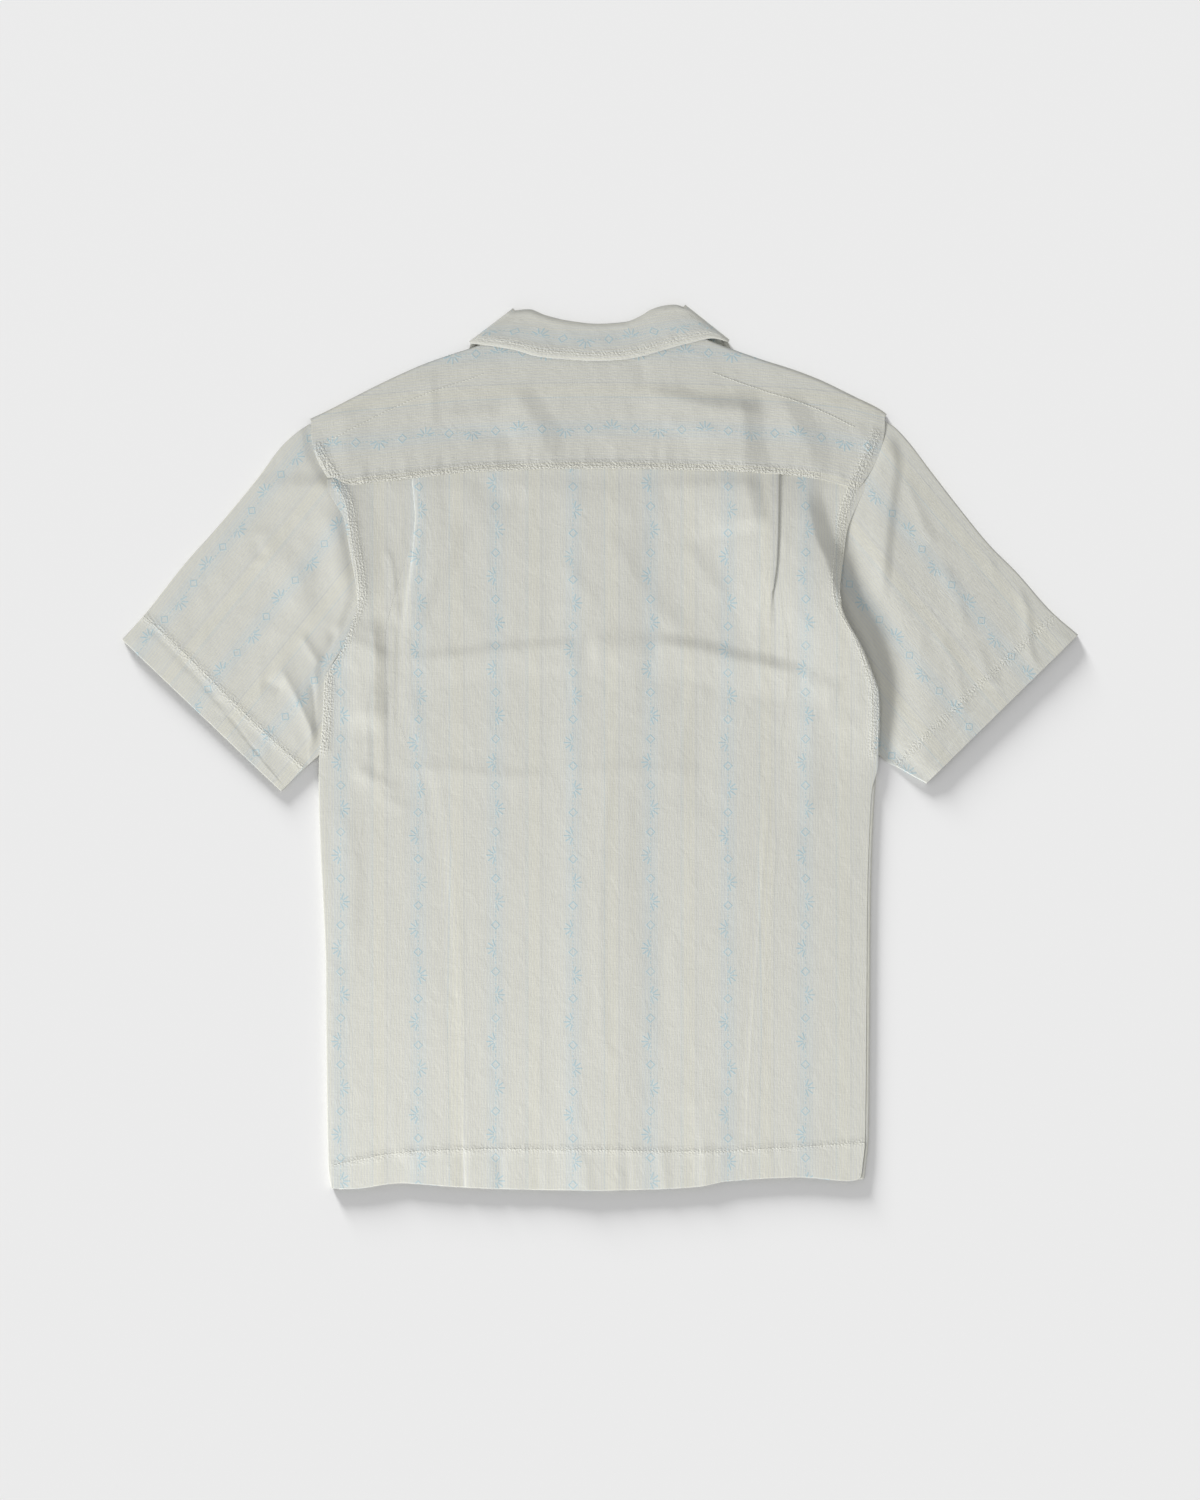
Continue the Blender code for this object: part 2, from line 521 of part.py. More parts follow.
# Sleeves: flattened tubes whose ends sit inside the armholes
def sleeve_grid(edge, upper, lower, lower_under, folds, outward):
    count = 10
    shares = np.linspace(0.0, 1.0, count) ** 0.9
    armhole = [(x, y) for y, x in edge if -6 < y < 284]
    armhole = [upper[0]] + [(x, y) for x, y in armhole if y < upper[0][1] - 8] + [lower[0]]
    outline = [(x, y) for y, x in edge if -40 < y < 300]
    cuff = [upper[-1], lower[-1]]
    cuff_under = [upper[-1], lower_under[-1]]

    def patch(v, low, end):
        u_pt, w_pt = along(upper, v), along(low, v)
        start, finish = along(armhole, shares), along(end, shares)
        s = shares[:, None]
        blend = (1 - s) * u_pt + s * w_pt + (1 - v) * start + v * finish
        corner = (1 - v) * ((1 - s) * start[0] + s * start[-1]) + v * ((1 - s) * finish[0] + s * finish[-1])
        return blend - corner

    rows = []
    for v in (-2.0, -1.0, 0.0, 0.035, 0.08, 0.15, 0.25, 0.37, 0.5, 0.63, 0.76, 0.86, 0.905, 0.91, 0.96, 1.0):
        tops = patch(max(v, 0.0), lower, cuff)
        unders = patch(max(v, 0.0), lower_under, cuff_under)
        if v < 0:
            tuck = SEAM_TUCK * -v / 2.0
            shift = np.array([-outward * tuck, 0.0])
            tops = tops + shift
            unders = unders + shift
            lower_lift = np.stack([np.zeros(count), 0.9 * tuck * shares**6], axis=-1)
            upper_drop = np.stack([np.zeros(count), -0.15 * tuck * (1 - shares) ** 6], axis=-1)
            tops = tops + lower_lift + upper_drop
            unders = unders + lower_lift + upper_drop
        away, _ = line_distance(tops[:, 0], tops[:, 1], outline)
        away = away if v > 0 else np.zeros(count)
        grow = smooth(3, 22, away)
        calm = smooth(0, 0.12, shares) * smooth(0, 0.12, 1 - shares)
        high = SLEEVE_END_TOP + (SLEEVE_TOP - SLEEVE_END_TOP) * grow
        high = high + grow * calm * (0.5 + folds_height(tops[:, 0], tops[:, 1], folds))
        away_under, _ = line_distance(unders[:, 0], unders[:, 1], outline)
        away_under = away_under if v > 0 else np.zeros(count)
        low = STEP * (1.0 - smooth(4, 16, away_under))
        ring = []
        for index in range(count):
            x, y = tops[index]
            if index in (0, count - 1):
                other = tops[1] if index == 0 else tops[-2]
                back = other - tops[index]
                back = back / np.hypot(*back)
                inset = (high[index] - low[index]) / 2.0
                x, y = tops[index] + back * inset
            ring.append((x, y, high[index]))
        for part, end in ((ring, -1), (None, 0)):
            tip_top = tops[end]
            tip_under = unders[end]
            inner_top = tops[end - 1 if end == -1 else 1]
            out = tip_top - inner_top
            out = out / np.hypot(*out)
            radius = (high[end] - low[end]) / 2.0
            arc = []
            for degrees in (45.0, 90.0, 135.0):
                a = math.radians(degrees)
                tip = tip_top + (tip_under - tip_top) * degrees / 180.0
                x, y = tip - out * radius * (1.0 - math.sin(a))
                arc.append((x, y, low[end] + radius * (1.0 + math.cos(a))))
            if end == -1:
                ring.extend(arc)
                for index in range(count - 1, -1, -2):
                    x, y = unders[index]
                    if index == count - 1:
                        x, y = unders[index] - out * radius
                    ring.append((x, y, low[index]))
                x, y = unders[0] + (unders[1] - unders[0]) / np.hypot(*(unders[1] - unders[0])) * radius
                ring.append((x, y, low[0]))
            else:
                ring.extend(arc[::-1])
        rows.append(ring)
    return np.array(rows)


def sleeve_thick(grid, hem_row):
    thick = np.full(grid.shape[:2], CLOTH)
    thick[hem_row:] = HEM_CLOTH
    return thick


grid = sleeve_grid(LEFT_EDGE, LEFT_UPPER, LEFT_LOWER, LEFT_LOWER, SLEEVE_LEFT_FOLDS, -1.0)
make_sheet("sleeve_left", grid, sleeve_cloth, thick=sleeve_thick(grid, 13), ring=True, flip=True)
grid = sleeve_grid(RIGHT_EDGE, RIGHT_UPPER, RIGHT_LOWER, RIGHT_LOWER_UNDER, SLEEVE_RIGHT_FOLDS, 1.0)
make_sheet("sleeve_right", grid, sleeve_cloth, thick=sleeve_thick(grid, 13), ring=True)


# Collar: one sheet from the neck seam up the stand, over the roll and down the fall to both front points
def collar_columns():
    """Roll point, fall edge, neck seam point, turn from the upper side (0) to the under side (1), and outward turn."""
    columns = []
    leaf_left = [tuple(row) for row in COLLAR_LEAF]
    leaf_right = [(-a, b, -c, d, -e, f) for a, b, c, d, e, f in COLLAR_LEAF]
    for row in leaf_left[::-1]:
        columns.append((row[0:2], row[2:4], row[4:6], 1.0, (-0.62, 0.78)))
    for turn in (0.8, 0.6, 0.4, 0.2):
        columns.append(((-74, 380), (-112, 351), (-85, 361), turn, (-0.62, 0.78)))
    for share in np.linspace(0, 1, 15):
        roll = along(COLLAR_ROLL, share)
        edge = along(COLLAR_EDGE, share)
        neck_x = -84 + 168 * share
        neck = (neck_x, float(table(SHOULDER, neck_x)) + 0.9)
        columns.append((roll, edge, neck, 0.0, (0.0, 1.0)))
    for turn in (0.2, 0.4, 0.6, 0.8):
        columns.append(((72.5, 383), (111, 352.5), (85, 361), turn, (0.62, 0.78)))
    for row in leaf_right:
        columns.append((row[0:2], row[2:4], row[4:6], 1.0, (0.62, 0.78)))
    return columns


def collar_grid():
    grid = []
    for roll, edge, neck, turn, out in collar_columns():
        roll, edge, neck = np.array(roll, float), np.array(edge, float), np.array(neck, float)
        angle = math.pi * turn
        top_fall, top_stand = FALL_TOP, STAND_FACE
        centre_fall, half_fall = top_fall / 2.0, top_fall / 2.0
        centre_stand, half_stand = (top_stand + 2.7) / 2.0, (top_stand - 2.7) / 2.0
        fall_z = centre_fall + half_fall * math.cos(angle)
        stand_z = centre_stand + half_stand * math.cos(angle)
        swing = np.array(out) * math.sin(angle)
        column = []
        for t in (1.0, 0.86, 0.62, 0.38, 0.18):
            point = roll + (edge - roll) * t
            point = point + swing * half_fall * 0.7
            column.append((point[0], point[1], fall_z))
        up = roll - (edge + neck) / 2.0
        up = up / np.hypot(*up)
        half = abs(fall_z - stand_z) / 2.0
        for degrees in (30.0, 90.0, 150.0):
            a = math.radians(degrees)
            mix = (1.0 - math.cos(a)) / 2.0
            point = roll + up * (math.sin(a) - 1.0) * half * 0.8
            point = point + swing * (half_fall * 0.7 * (1 - mix) + half_stand * mix)
            column.append((point[0], point[1], fall_z + (stand_z - fall_z) * mix))
        for t in (0.5, 1.0):
            start = roll - up * half
            point = start + (neck - start) * t
            point = point + swing * half_stand
            column.append((point[0], point[1], stand_z))
        grid.append(column)
    return np.array(grid)


make_sheet("collar", collar_grid(), collar_cloth, flip=True)


# Facings: the lapels turned back under the fronts, rolled over the fold to the inside
def facing_grid(mirror):
    sign = -1.0 if mirror else 1.0
    grid = []
    for roll_x, roll_y, edge_x, edge_y in LAPEL:
        out = np.array([edge_x - roll_x, edge_y - roll_y], float)
        length = np.hypot(*out)
        out = out / length
        radius = 2.1
        row = []
        for distance, z in ((12.0, 4.2), (7.0, 4.2), (radius, 4.2)):
            row.append((roll_x + out[0] * distance, roll_y + out[1] * distance, z))
        for degrees in (45.0, 90.0, 135.0):
            a = math.radians(degrees)
            step = radius * (1.0 - math.sin(a))
            row.append((roll_x + out[0] * step, roll_y + out[1] * step, radius * (1.0 + math.cos(a))))
        for share in (0.0, 0.35, 0.7, 1.0):
            distance = radius + (length - radius) * share
            row.append((roll_x + out[0] * distance, roll_y + out[1] * distance, 0.0))
        grid.append([(sign * x, y, z) for x, y, z in row])
    return np.array(grid)


make_sheet("facing_left", facing_grid(False), front_cloth, flip=True)
make_sheet("facing_right", facing_grid(True), front_cloth)


# Buttons: four-hole discs under the centre front
def make_button(index, y):
    bpy.ops.mesh.primitive_cylinder_add(
        vertices=24, radius=BUTTON_RADIUS * MM, depth=BUTTON_THICK * MM,
        location=(0.0, y * MM, BUTTON_THICK / 2 * MM),
    )
    button = bpy.context.object
    button.name = f"button_{index}"
    button.data.materials.append(button_shell)
    for other in list(button.users_collection):
        other.objects.unlink(button)
    shirt.objects.link(button)
    for hx, hy in ((-1.3, -1.3), (1.3, -1.3), (1.3, 1.3), (-1.3, 1.3)):
        bpy.ops.mesh.primitive_cylinder_add(
            vertices=8, radius=0.75 * MM, depth=4 * MM,
            location=(hx * MM, (y + hy) * MM, BUTTON_THICK / 2 * MM),
        )
        cutter = bpy.context.object
        cutter.name = f"hole_{index}_{hx:+.0f}_{hy:+.0f}"
        cutter.display_type = "WIRE"
        cutter.hide_render = True
        for other in list(cutter.users_collection):
            other.objects.unlink(cutter)
        cutters.objects.link(cutter)
        cut = button.modifiers.new("Hole", "BOOLEAN")
        cut.operation = "DIFFERENCE"
        cut.solver = "EXACT"
        cut.object = cutter


for index, y in enumerate(BUTTON_Y, start=1):
    make_button(index, y)
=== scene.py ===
import json
import math

import bmesh
import bpy
import numpy as np
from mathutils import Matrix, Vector
from mathutils.bvhtree import BVHTree

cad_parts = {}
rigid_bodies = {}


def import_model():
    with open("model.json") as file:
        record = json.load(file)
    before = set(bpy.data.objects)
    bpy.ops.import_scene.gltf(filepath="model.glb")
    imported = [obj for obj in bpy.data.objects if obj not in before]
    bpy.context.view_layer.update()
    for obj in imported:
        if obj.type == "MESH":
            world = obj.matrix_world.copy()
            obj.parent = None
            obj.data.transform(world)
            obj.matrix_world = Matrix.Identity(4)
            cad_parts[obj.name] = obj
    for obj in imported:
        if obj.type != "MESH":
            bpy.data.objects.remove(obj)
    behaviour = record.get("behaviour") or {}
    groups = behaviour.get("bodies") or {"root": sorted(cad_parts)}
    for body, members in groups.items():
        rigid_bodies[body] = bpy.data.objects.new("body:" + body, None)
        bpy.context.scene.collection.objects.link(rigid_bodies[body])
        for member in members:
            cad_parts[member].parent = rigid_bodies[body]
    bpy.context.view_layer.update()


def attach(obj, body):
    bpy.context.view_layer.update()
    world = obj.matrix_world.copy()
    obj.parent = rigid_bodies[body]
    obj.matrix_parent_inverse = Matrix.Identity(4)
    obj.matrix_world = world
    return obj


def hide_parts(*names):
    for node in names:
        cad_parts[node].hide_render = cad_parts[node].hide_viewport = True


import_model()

# The camp collar shirt of part.py with its cloth, sewing and looks. Tables hold millimetres on the same axes.
MM = 0.001
COARSE = 1.0

# Cloth: its thickness, and the radius of each kind of fold
PLY = 0.4
FOLD_RADIUS = 0.3
CUFF_RADIUS = 0.42
ARMHOLE_FOLD = 0.22
BACK_ROLL = 2.77
SIDE_ROLL = 2.9
FACING_ROLL = 2.0
# How far the back's left roll is pressed flat: 1 is round
PRESSED = 0.35

# Levels of the cloth's outer face above the table
BODY_TOP = 5.8
YOKE_TOP = 6.0
SLEEVE_TOP = 5.8
FALL_TOP = 8.0
STAND_FACE = 4.6
STAND_BACK = 2.7
ARMHOLE_TOP = 4.7
SLEEVE_UNDER = 0.6
SLEEVE_DIP = 1.7
# Thickness of the collar's leaf under the fronts, and what the button edges and buttons add
STEP = 1.5
BUTTON_LIFT = 2.3
BUTTON_SPREAD = 26.0
PLACKET_RISE = 0.8
# The armhole's standing cloth: height, and reach into the body
ARMHOLE_RISE = 2.6
ARMHOLE_REACH = 32.0
# No fold of the back sinks further than this
DEEPEST_FOLD = -1.5

# Widths of what is turned under or laps over
SIDE_LIP = 3.0
STRIP = 3.2
YOKE_LAP = 10.0
YOKE_LIP = 25.0
CUFF_LIP = 9.0
HEM_LIP = 28.0
PLACKET_HALF = 15.0
SLEEVE_TUCK = 9.0
# Where a hem would come through a tight fold beside it, it turns in by this much only
BURIED_FOLD = 0.15
BURIED_LIP = 0.4

# Grids: columns of a sleeve's round fold, of the tight cloth about it, and of the back's folded sides
ARC_COLUMNS = 6
FOLD_COLUMNS = 9
SIDE_COLUMNS = 10
# How far a sleeve's fold reaches out, as a share of its radius
FOLD_REACH = 0.5
# The back's rows run between these heights, and the yoke is this wide at its shoulder line
PANEL_TOP = 250.0
PANEL_LOW = -386.0
YOKE_WIDE = 503.0
# Share of a sleeve's length at which its hem starts
CUFF_HEM = 0.895
# While the collar turns under at its front corners: the way it bulges, and how far its two layers do
LEAF_OUT = (0.62, 0.78)
FALL_SWING = 0.7
STAND_SWING = 0.95

# Buttons
BUTTON_Y = (180.0, 75.0, -30.0, -135.0, -240.0)
BUTTON_RADIUS = 5.75
BUTTON_THICK = 2.0
HOLE_OFFSET = 1.3
HOLE_RADIUS = 0.75
RIM_ROUND = 0.18
# Steps of the dished face from the rim inwards. Columns: width, depth
BUTTON_DISH = ((0.9, 0.0), (0.5, -0.55), (1.4, -0.05))

# Stitches: length, radius, pitch and how far they stray
STITCH_LONG = 2.3
STITCH_RADIUS = 0.27
STITCH_PITCH = 3.0
STITCH_JITTER = 0.08

# The woven figure: stripes of diamonds and half daisies, every second one shifted along by a half drop
REPEAT = 67.4
DIAMOND_STEP = 40.5
FIGURE_START = 24.0
HALF_DROP = 23.5
PETAL_TURN = math.pi / 5

# Outline of the body. Columns: y, x
LEFT_EDGE = (
    (292, -256), (286, -254), (258, -249), (243, -241), (226, -230), (212, -223),
    (180, -217.5), (154, -213), (132, -211), (124, -213.5), (93, -226), (68, -240),
    (26, -242), (-1, -244.5), (-29, -245), (-81, -243.6), (-133, -241),
    (-185, -239), (-264, -238.4), (-368, -236.6), (-390, -233.5),
)
RIGHT_EDGE = (
    (292, 251), (289, 249.5), (270, 243.6), (251, 236), (224, 223.6), (209, 218),
    (198, 215), (174, 212), (143, 209), (132, 210), (96, 228), (73, 236.6),
    (53, 242.7), (33, 243.6), (-4, 242.7), (-46, 239), (-133, 236), (-264, 235),
    (-351, 234), (-390, 230),
)
# Columns: x, y
HEM_LINE = (
    (-236, -384), (-217, -384), (-174, -379), (-130, -382), (-87, -384), (0, -385.4),
    (43, -384.5), (87, -382), (109, -377.6), (174, -374), (217, -377), (235, -373),
)
HEM_STITCH = (
    (-240, -366), (-232, -364), (-209, -359), (-174, -353), (-130, -350.6), (-87, -350), (0, -350.6),
    (52, -352), (104, -352), (126, -350.6), (174, -348), (230.5, -344.5), (240, -344),
)
YOKE_SEAM = (
    (-230, 225), (-222, 227), (-164, 234), (-104, 240), (0, 242.7), (87, 241),
    (152, 238), (187, 234), (225, 224.5),
)
SHOULDER = (
    (-254, 285), (-239, 292), (-217.5, 303), (-196, 314), (-174, 324.5), (-152, 334),
    (-130.5, 341.5), (-112, 347.5), (-98, 353), (-84, 358), (-70, 354), (-50, 350.5),
    (0, 349), (50, 350.5), (70, 354), (84, 358), (98, 353), (112, 347.5), (139, 338),
    (169, 328.5), (191, 320), (222, 305), (244, 294), (252, 288),
)
# The crest beside the right armhole. Columns: y, inset from the edge, height, width of the fall
CREST = (
    (242, 44, 0, 12), (224, 42, 2.2, 13), (198, 31, 5.0, 14), (180, 24, 5.8, 15), (163, 14, 6.4, 15),
    (145, 7, 6.8, 16), (128, 2, 7.2, 18), (96, 1, 7.4, 20), (73, 1, 6.8, 20), (53, 1, 5.8, 20),
    (24, 1, 4.4, 20), (0, 1, 2.0, 20), (-20, 1, 0.5, 20), (-40, 1, 0, 20),
)
# Columns: y, x
LEFT_PLEAT = (
    (260, -164), (241, -163.6), (206, -161), (180, -162.7), (154, -165.3), (128, -168.8), (106, -172),
    (60, -172), (10, -160), (-30, -145), (-90, -136), (-150, -129.6), (-220, -125.3), (-290, -121.8),
    (-390, -118),
)
RIGHT_PLEAT = (
    (260, 157), (238, 156), (189, 155), (163, 154), (117, 149), (-35, 148), (-174, 137), (-390, 124),
)
# Columns: y, lap, height
LEFT_PLEAT_LAP = (
    (260, 8, 0.55), (234, 7, 0.55), (190, 3, 0.6), (168, 0, 0.5), (148, -4, 0.35), (120, -8, 0.18),
    (90, -9, 0.12), (0, -4, 0.08), (-390, -4, 0.07),
)
RIGHT_PLEAT_LAP = (
    (260, 10, 1.35), (238, 9, 1.4), (180, 5, 1.6), (140, 1, 1.5), (120, -4, 0.9), (95, -8, 0.35),
    (60, -9, 0.2), (0, -4, 0.15), (-390, -4, 0.15),
)

# Collar. Columns: x, y
COLLAR_ROLL = (
    (-74, 380), (-62, 381), (-48, 376), (-27, 371), (-2, 368.4), (22, 370), (35, 375),
    (44, 380.5), (55, 384), (65, 385), (72.5, 383),
)
COLLAR_EDGE = (
    (-112, 351), (-92, 348.5), (-74, 345.4), (-55, 340), (-34, 337.6), (-3.5, 336), (16, 336.7),
    (36.5, 340), (57, 346), (76, 351), (98, 355.5), (111, 352.5),
)
# Columns: roll x, roll y, edge x, edge y, neck seam x, neck seam y
COLLAR_LEAF = (
    (-75, 376, -114, 346, -86, 356),
    (-72, 366, -116, 333, -82, 340),
    (-66, 346, -117, 312, -72, 331),
    (-58, 324, -116, 290, -62, 317),
    (-50, 304, -113, 268, -53, 304.5),
)
# Columns: roll x, roll y, edge x, edge y
LAPEL = (
    (-49, 302.4, -78, 286.4),
    (-44.5, 292, -84, 270),
    (-40, 283, -90, 255),
    (-28, 258, -66, 240),
    (-18, 238, -36, 229),
    (-10, 222, -16, 219),
)
# Where the collar turns under, at its left and right corners. Points: roll, edge, neck seam
TURN_LEFT = ((-74, 380), (-112, 351), (-85, 361))
TURN_RIGHT = ((72.5, 383), (111, 352.5), (85, 361))
# What the leaf and lapel cover on the left, and the edge of the neck on the fronts. Points: x, y, and y, x
LEAF_ZONE = ((-74, 380), (-118, 350), (-119, 264), (-92, 250), (-8, 208), (-4, 214), (-44, 302))
FRONT_NECK = (
    (336, -79), (331, -74), (317, -64), (304, -54), (283, -41.5), (258, -30), (238, -20.5),
    (220, -12), (206, 2), (198, 12), (190, 15),
)

# Sleeve outlines from the shoulder out. Points: x, y
LEFT_UPPER = (
    (-253.5, 281), (-262, 275.5), (-278, 261), (-298, 234), (-328, 197.5), (-362, 159), (-398.5, 113),
    (-416, 94),
)
LEFT_LOWER = ((-244.5, -7), (-251, -13), (-258, -19), (-268, -29), (-277.5, -38))
RIGHT_UPPER = (
    (250, 283), (256, 279), (264.5, 270.6), (289, 239), (313, 208), (340, 175), (362, 153), (394, 117),
    (416, 98),
)
RIGHT_LOWER = ((243, -7), (250, -13), (260, -18), (272, -25), (284, -31.5))

# Creases. Columns: points, width on the left of the line, width on its right, height, and its form:
# 0 falls straight to a sharp foot, 1 has a sharp crest, 2 is soft
BACK_CREASES = (
    (((-177.5, 73.1), (-130.5, 78.3), (-87, 83.5), (-43.5, 87), (-3.5, 90.5)), 8, 24, 1.1, 0),
    (((-13.1, 88.7), (47.9, 87)), 9, 20, 1.2, 2),
    (((34.8, 92.2), (87, 84.4), (121.8, 75.7), (152.2, 68.7), (187.9, 60.9)), 9, 26, 2.0, 0),
    (((174, 61.8), (210.5, 46.1)), 8, 12, 1.0, 2),
    (((122.7, 254), (129.6, 223.6), (136.6, 185.3)), 12, 70, 2.1, 0),
    (((137.5, 127.9), (140.1, 84.4), (143.6, 40.9)), 2.5, 9, 0.5, 0),
    (((-164.4, 256.6), (-161.8, 201.8), (-163.6, 171.4), (-168.8, 136.6), (-174, 93.1)), 3.5, 20, -0.5, 0),
    (((-118.3, 195.8), (-134, 162.7), (-153.1, 133.1), (-168.8, 93.1)), 11, 22, 1.2, 0),
    (((-196.6, 114.8), (-195.8, 67), (-196.6, 9.6)), 12, 40, 2.5, 0),
    (((-221, 93.1), (-200.1, 86.1), (-179.2, 72.2)), 7, 20, 0.9, 0),
    (((-188.8, 58.3), (-188.8, 14.8), (-187.9, -33.9)), 4, 16, 0.6, 0),
    (((-203.6, 56.5), (-202.7, 10.4), (-200.1, -42.6)), 4, 16, 0.6, 0),
    (((-215.8, -15.7), (-195.8, -28.7), (-172.3, -40)), 5, 7, 0.8, 1.6),
    (((-198.4, -37.4), (-182.7, -46.1), (-163.6, -56.5)), 4, 6, 0.5, 1.6),
    (((-191.4, 176.6), (-181.8, 162.7), (-177.5, 127.9), (-174.9, 103.5)), 3, 8, 0.6, 0),
    (((-178.3, 110.5), (-179.2, 75.7), (-180.1, 14.8)), 2.5, 8, 0.5, 0),
    (((-184.4, -20), (-139.2, -18.3), (-87, -25.2), (-34.8, -24.4)), 5, 12, 0.6, 1.5),
    (((-34.8, -25.2), (34.8, -20), (104.4, -25.2)), 6, 12, 0.4, 1.8),
    (
        (
            (-143.6, -20), (-135.7, -89.6), (-129.6, -150.5), (-125.3, -220.1), (-121.8, -289.7),
            (-118.3, -425.4),
        ),
        2.6, 18, -0.1, 0,
    ),
    (
        ((147.9, -20), (140.9, -89.6), (136.6, -159.2), (131.4, -228.8), (127, -298.4), (123.5, -425.4)),
        1.8, 20, -0.2, 0,
    ),
    (((97.4, -289.7), (94, -333.2), (92.2, -420.2)), 26, 14, 0.5, 0),
    (((-120.1, -333.2), (-116.6, -425.4)), 1.8, 9, -0.45, 0),
    (((76.6, -285.4), (87, -328.9), (92.2, -376.7), (94, -420.2)), 4, 8, 0.25, 0),
    (((-54.8, -346.3), (-52.2, -408)), 4, 7, -0.5, 1.5),
    (((-172.3, -350.6), (-174, -408)), 5, 10, -0.45, 1.6),
    (((23.5, -341.9), (25.2, -408)), 3, 5, -0.5, 1.3),
    (((-87, -350.6), (-84.4, -408)), 3, 5, -0.5, 1.4),
    (((52.2, -341.9), (60.9, -408)), 4, 6, 0.6, 1.6),
    (((-13.1, -350.6), (-8.7, -408)), 4, 6, 0.5, 1.6),
    (((-113.1, 232.3), (-60.9, 207.9)), 12, 14, -0.9, 2),
    (((8.7, 188.8), (43.5, 127.9), (87, 93.1)), 9, 12, 0.7, 1.6),
    (((-34.8, 162.7), (0, 119.2)), 8, 10, 0.5, 1.8),
    (((69.6, 180.1), (117.5, 119.2)), 7, 10, 0.6, 1.6),
    (((178.3, 40.9), (184.4, -11.3), (181, -72.2)), 10, 14, 0.7, 2),
    (((104.4, 40.9), (87, -11.3), (92.2, -72.2)), 12, 16, -0.6, 2),
    (((0, 40.9), (5.2, -46.1), (0, -133.1), (3.5, -307.1)), 5, 7, 0.35, 1.6),
    (((-221.8, -46.1), (-215.8, -115.7), (-219.2, -185.3)), 8, 12, 0.8, 2),
    (((78.3, -115.7), (52.2, -185.3), (59.2, -263.6)), 10, 14, -0.5, 2),
)
YOKE_CREASES = (
    (((-80, 315.8), (-65.2, 294.9), (-50.5, 272.3), (-41.8, 237.5)), 15, 26, 1.7, 0),
    (((31.3, 308.9), (78.3, 301), (106.1, 294.1), (147.9, 289.7)), 10, 30, 1.9, 0),
    (((36.5, 338.4), (39.1, 312.3)), 3, 7, -0.7, 1.4),
    (((120.1, 312.3), (125.3, 275.8), (128.8, 223.6)), 17, 50, 2.5, 0),
    (((154.9, 308.9), (168.8, 281), (181, 260.1), (186.2, 228.8)), 18, 30, 2.1, 0),
    (((-224.5, 312.3), (-221, 275.8), (-221, 223.6)), 20, 16, 0.9, 0),
    (((-139.2, 288), (-87, 292.3)), 6, 12, 0.9, 1.6),
    (((-221.8, 308.9), (-174, 321), (-139.2, 328), (-87, 340.2)), 4, 12, 0.7, 1.4),
    (((-147.9, 354.1), (-146.2, 301.9), (-142.7, 267.1)), 4, 7, 0.5, 1.6),
    (((-113.1, 275.8), (-69.6, 267.1)), 8, 10, -0.6, 2),
    (((52.2, 284.5), (104.4, 270.6)), 9, 12, 0.7, 2),
    (((221.8, 284.5), (231.4, 267.1), (236.6, 256.6)), 4, 7, 0.6, 1.6),
)
SLEEVE_LEFT_CREASES = (
    (((-241, 63.5), (-234.9, 84.4), (-227.1, 105.3)), 6, 5, -1.8, 1.5),
    (((-261, 100), (-250.6, 82.7), (-241, 68.7)), 3, 6, 1.0, 1.4),
    (((-281, 74), (-269.7, 53.9), (-257.5, 29.6), (-243.6, -4.3)), 4, 5, 1.2, 1.3),
    (((-250.6, 61.8), (-248.8, 40.9), (-245.3, 10.4)), 4, 4, -1.2, 1.5),
    (((-300.1, 184.4), (-294.1, 162.7)), 6, 7, -0.8, 2),
    (((-313.2, 197.5), (-261, 127.9), (-252.3, 93.1)), 14, 14, 0.8, 2),
    (((-294.1, 58.3), (-274.9, 49.6)), 5, 6, -0.7, 1.6),
    (((-252.3, 162.7), (-264.5, 119.2), (-287.1, 84.4)), 9, 12, 0.7, 2),
    (((-365.4, 93.1), (-313.2, 127.9), (-261, 162.7)), 14, 16, -0.5, 2),
    (((-243.6, 214.9), (-231.4, 180.1), (-226.2, 136.6)), 8, 9, 0.8, 2),
)
SLEEVE_RIGHT_CREASES = (
    (
        ((247.1, 291.4), (253.2, 268.8), (255.8, 246.2), (252.3, 214.9), (248.8, 180.1), (244.5, 124.4)),
        7, 34, 2.3, 0,
    ),
    (((264.5, 237.5), (273.2, 214.9), (283.6, 188.8), (299.3, 172.3)), 4, 8, 0.9, 1.3),
    (((295.8, 162.7), (311.5, 131.4), (318.4, 93.1)), 5, 9, 0.8, 1.5),
    (((327.1, 93.1), (339.3, 61.8), (349.7, 49.6)), 4, 7, 0.7, 1.5),
    (((360.2, 147), (372.4, 117.5), (374.1, 84.4), (386.3, 65.2)), 3, 6, 1.0, 1.4),
    (((379.3, 134.8), (391.5, 114)), 3, 5, 0.8, 1.4),
    (((337.6, 173.1), (343.6, 152.2)), 3, 5, 0.7, 1.4),
    (((287.1, 110.5), (313.2, 58.3), (318.4, 14.8)), 4, 6, 0.5, 1.6),
    (((247.1, 1.7), (264.5, -8.7), (280.1, -33.9)), 4, 6, -0.4, 1.5),
)


# Maths helpers
def slopes(x, y):
    """Slopes of a monotone cubic through points, so that outlines bend without overshoot."""
    step = np.diff(x)
    rise = np.diff(y) / step
    inner = np.zeros(len(x))
    same = rise[:-1] * rise[1:] > 0
    weight_a, weight_b = 2 * step[1:] + step[:-1], step[1:] + 2 * step[:-1]
    with np.errstate(divide="ignore", invalid="ignore"):
        mean = (weight_a + weight_b) / (weight_a / rise[:-1] + weight_b / rise[1:])
    inner[1:-1] = np.where(same, mean, 0.0)
    inner[0], inner[-1] = rise[0], rise[-1]
    return inner


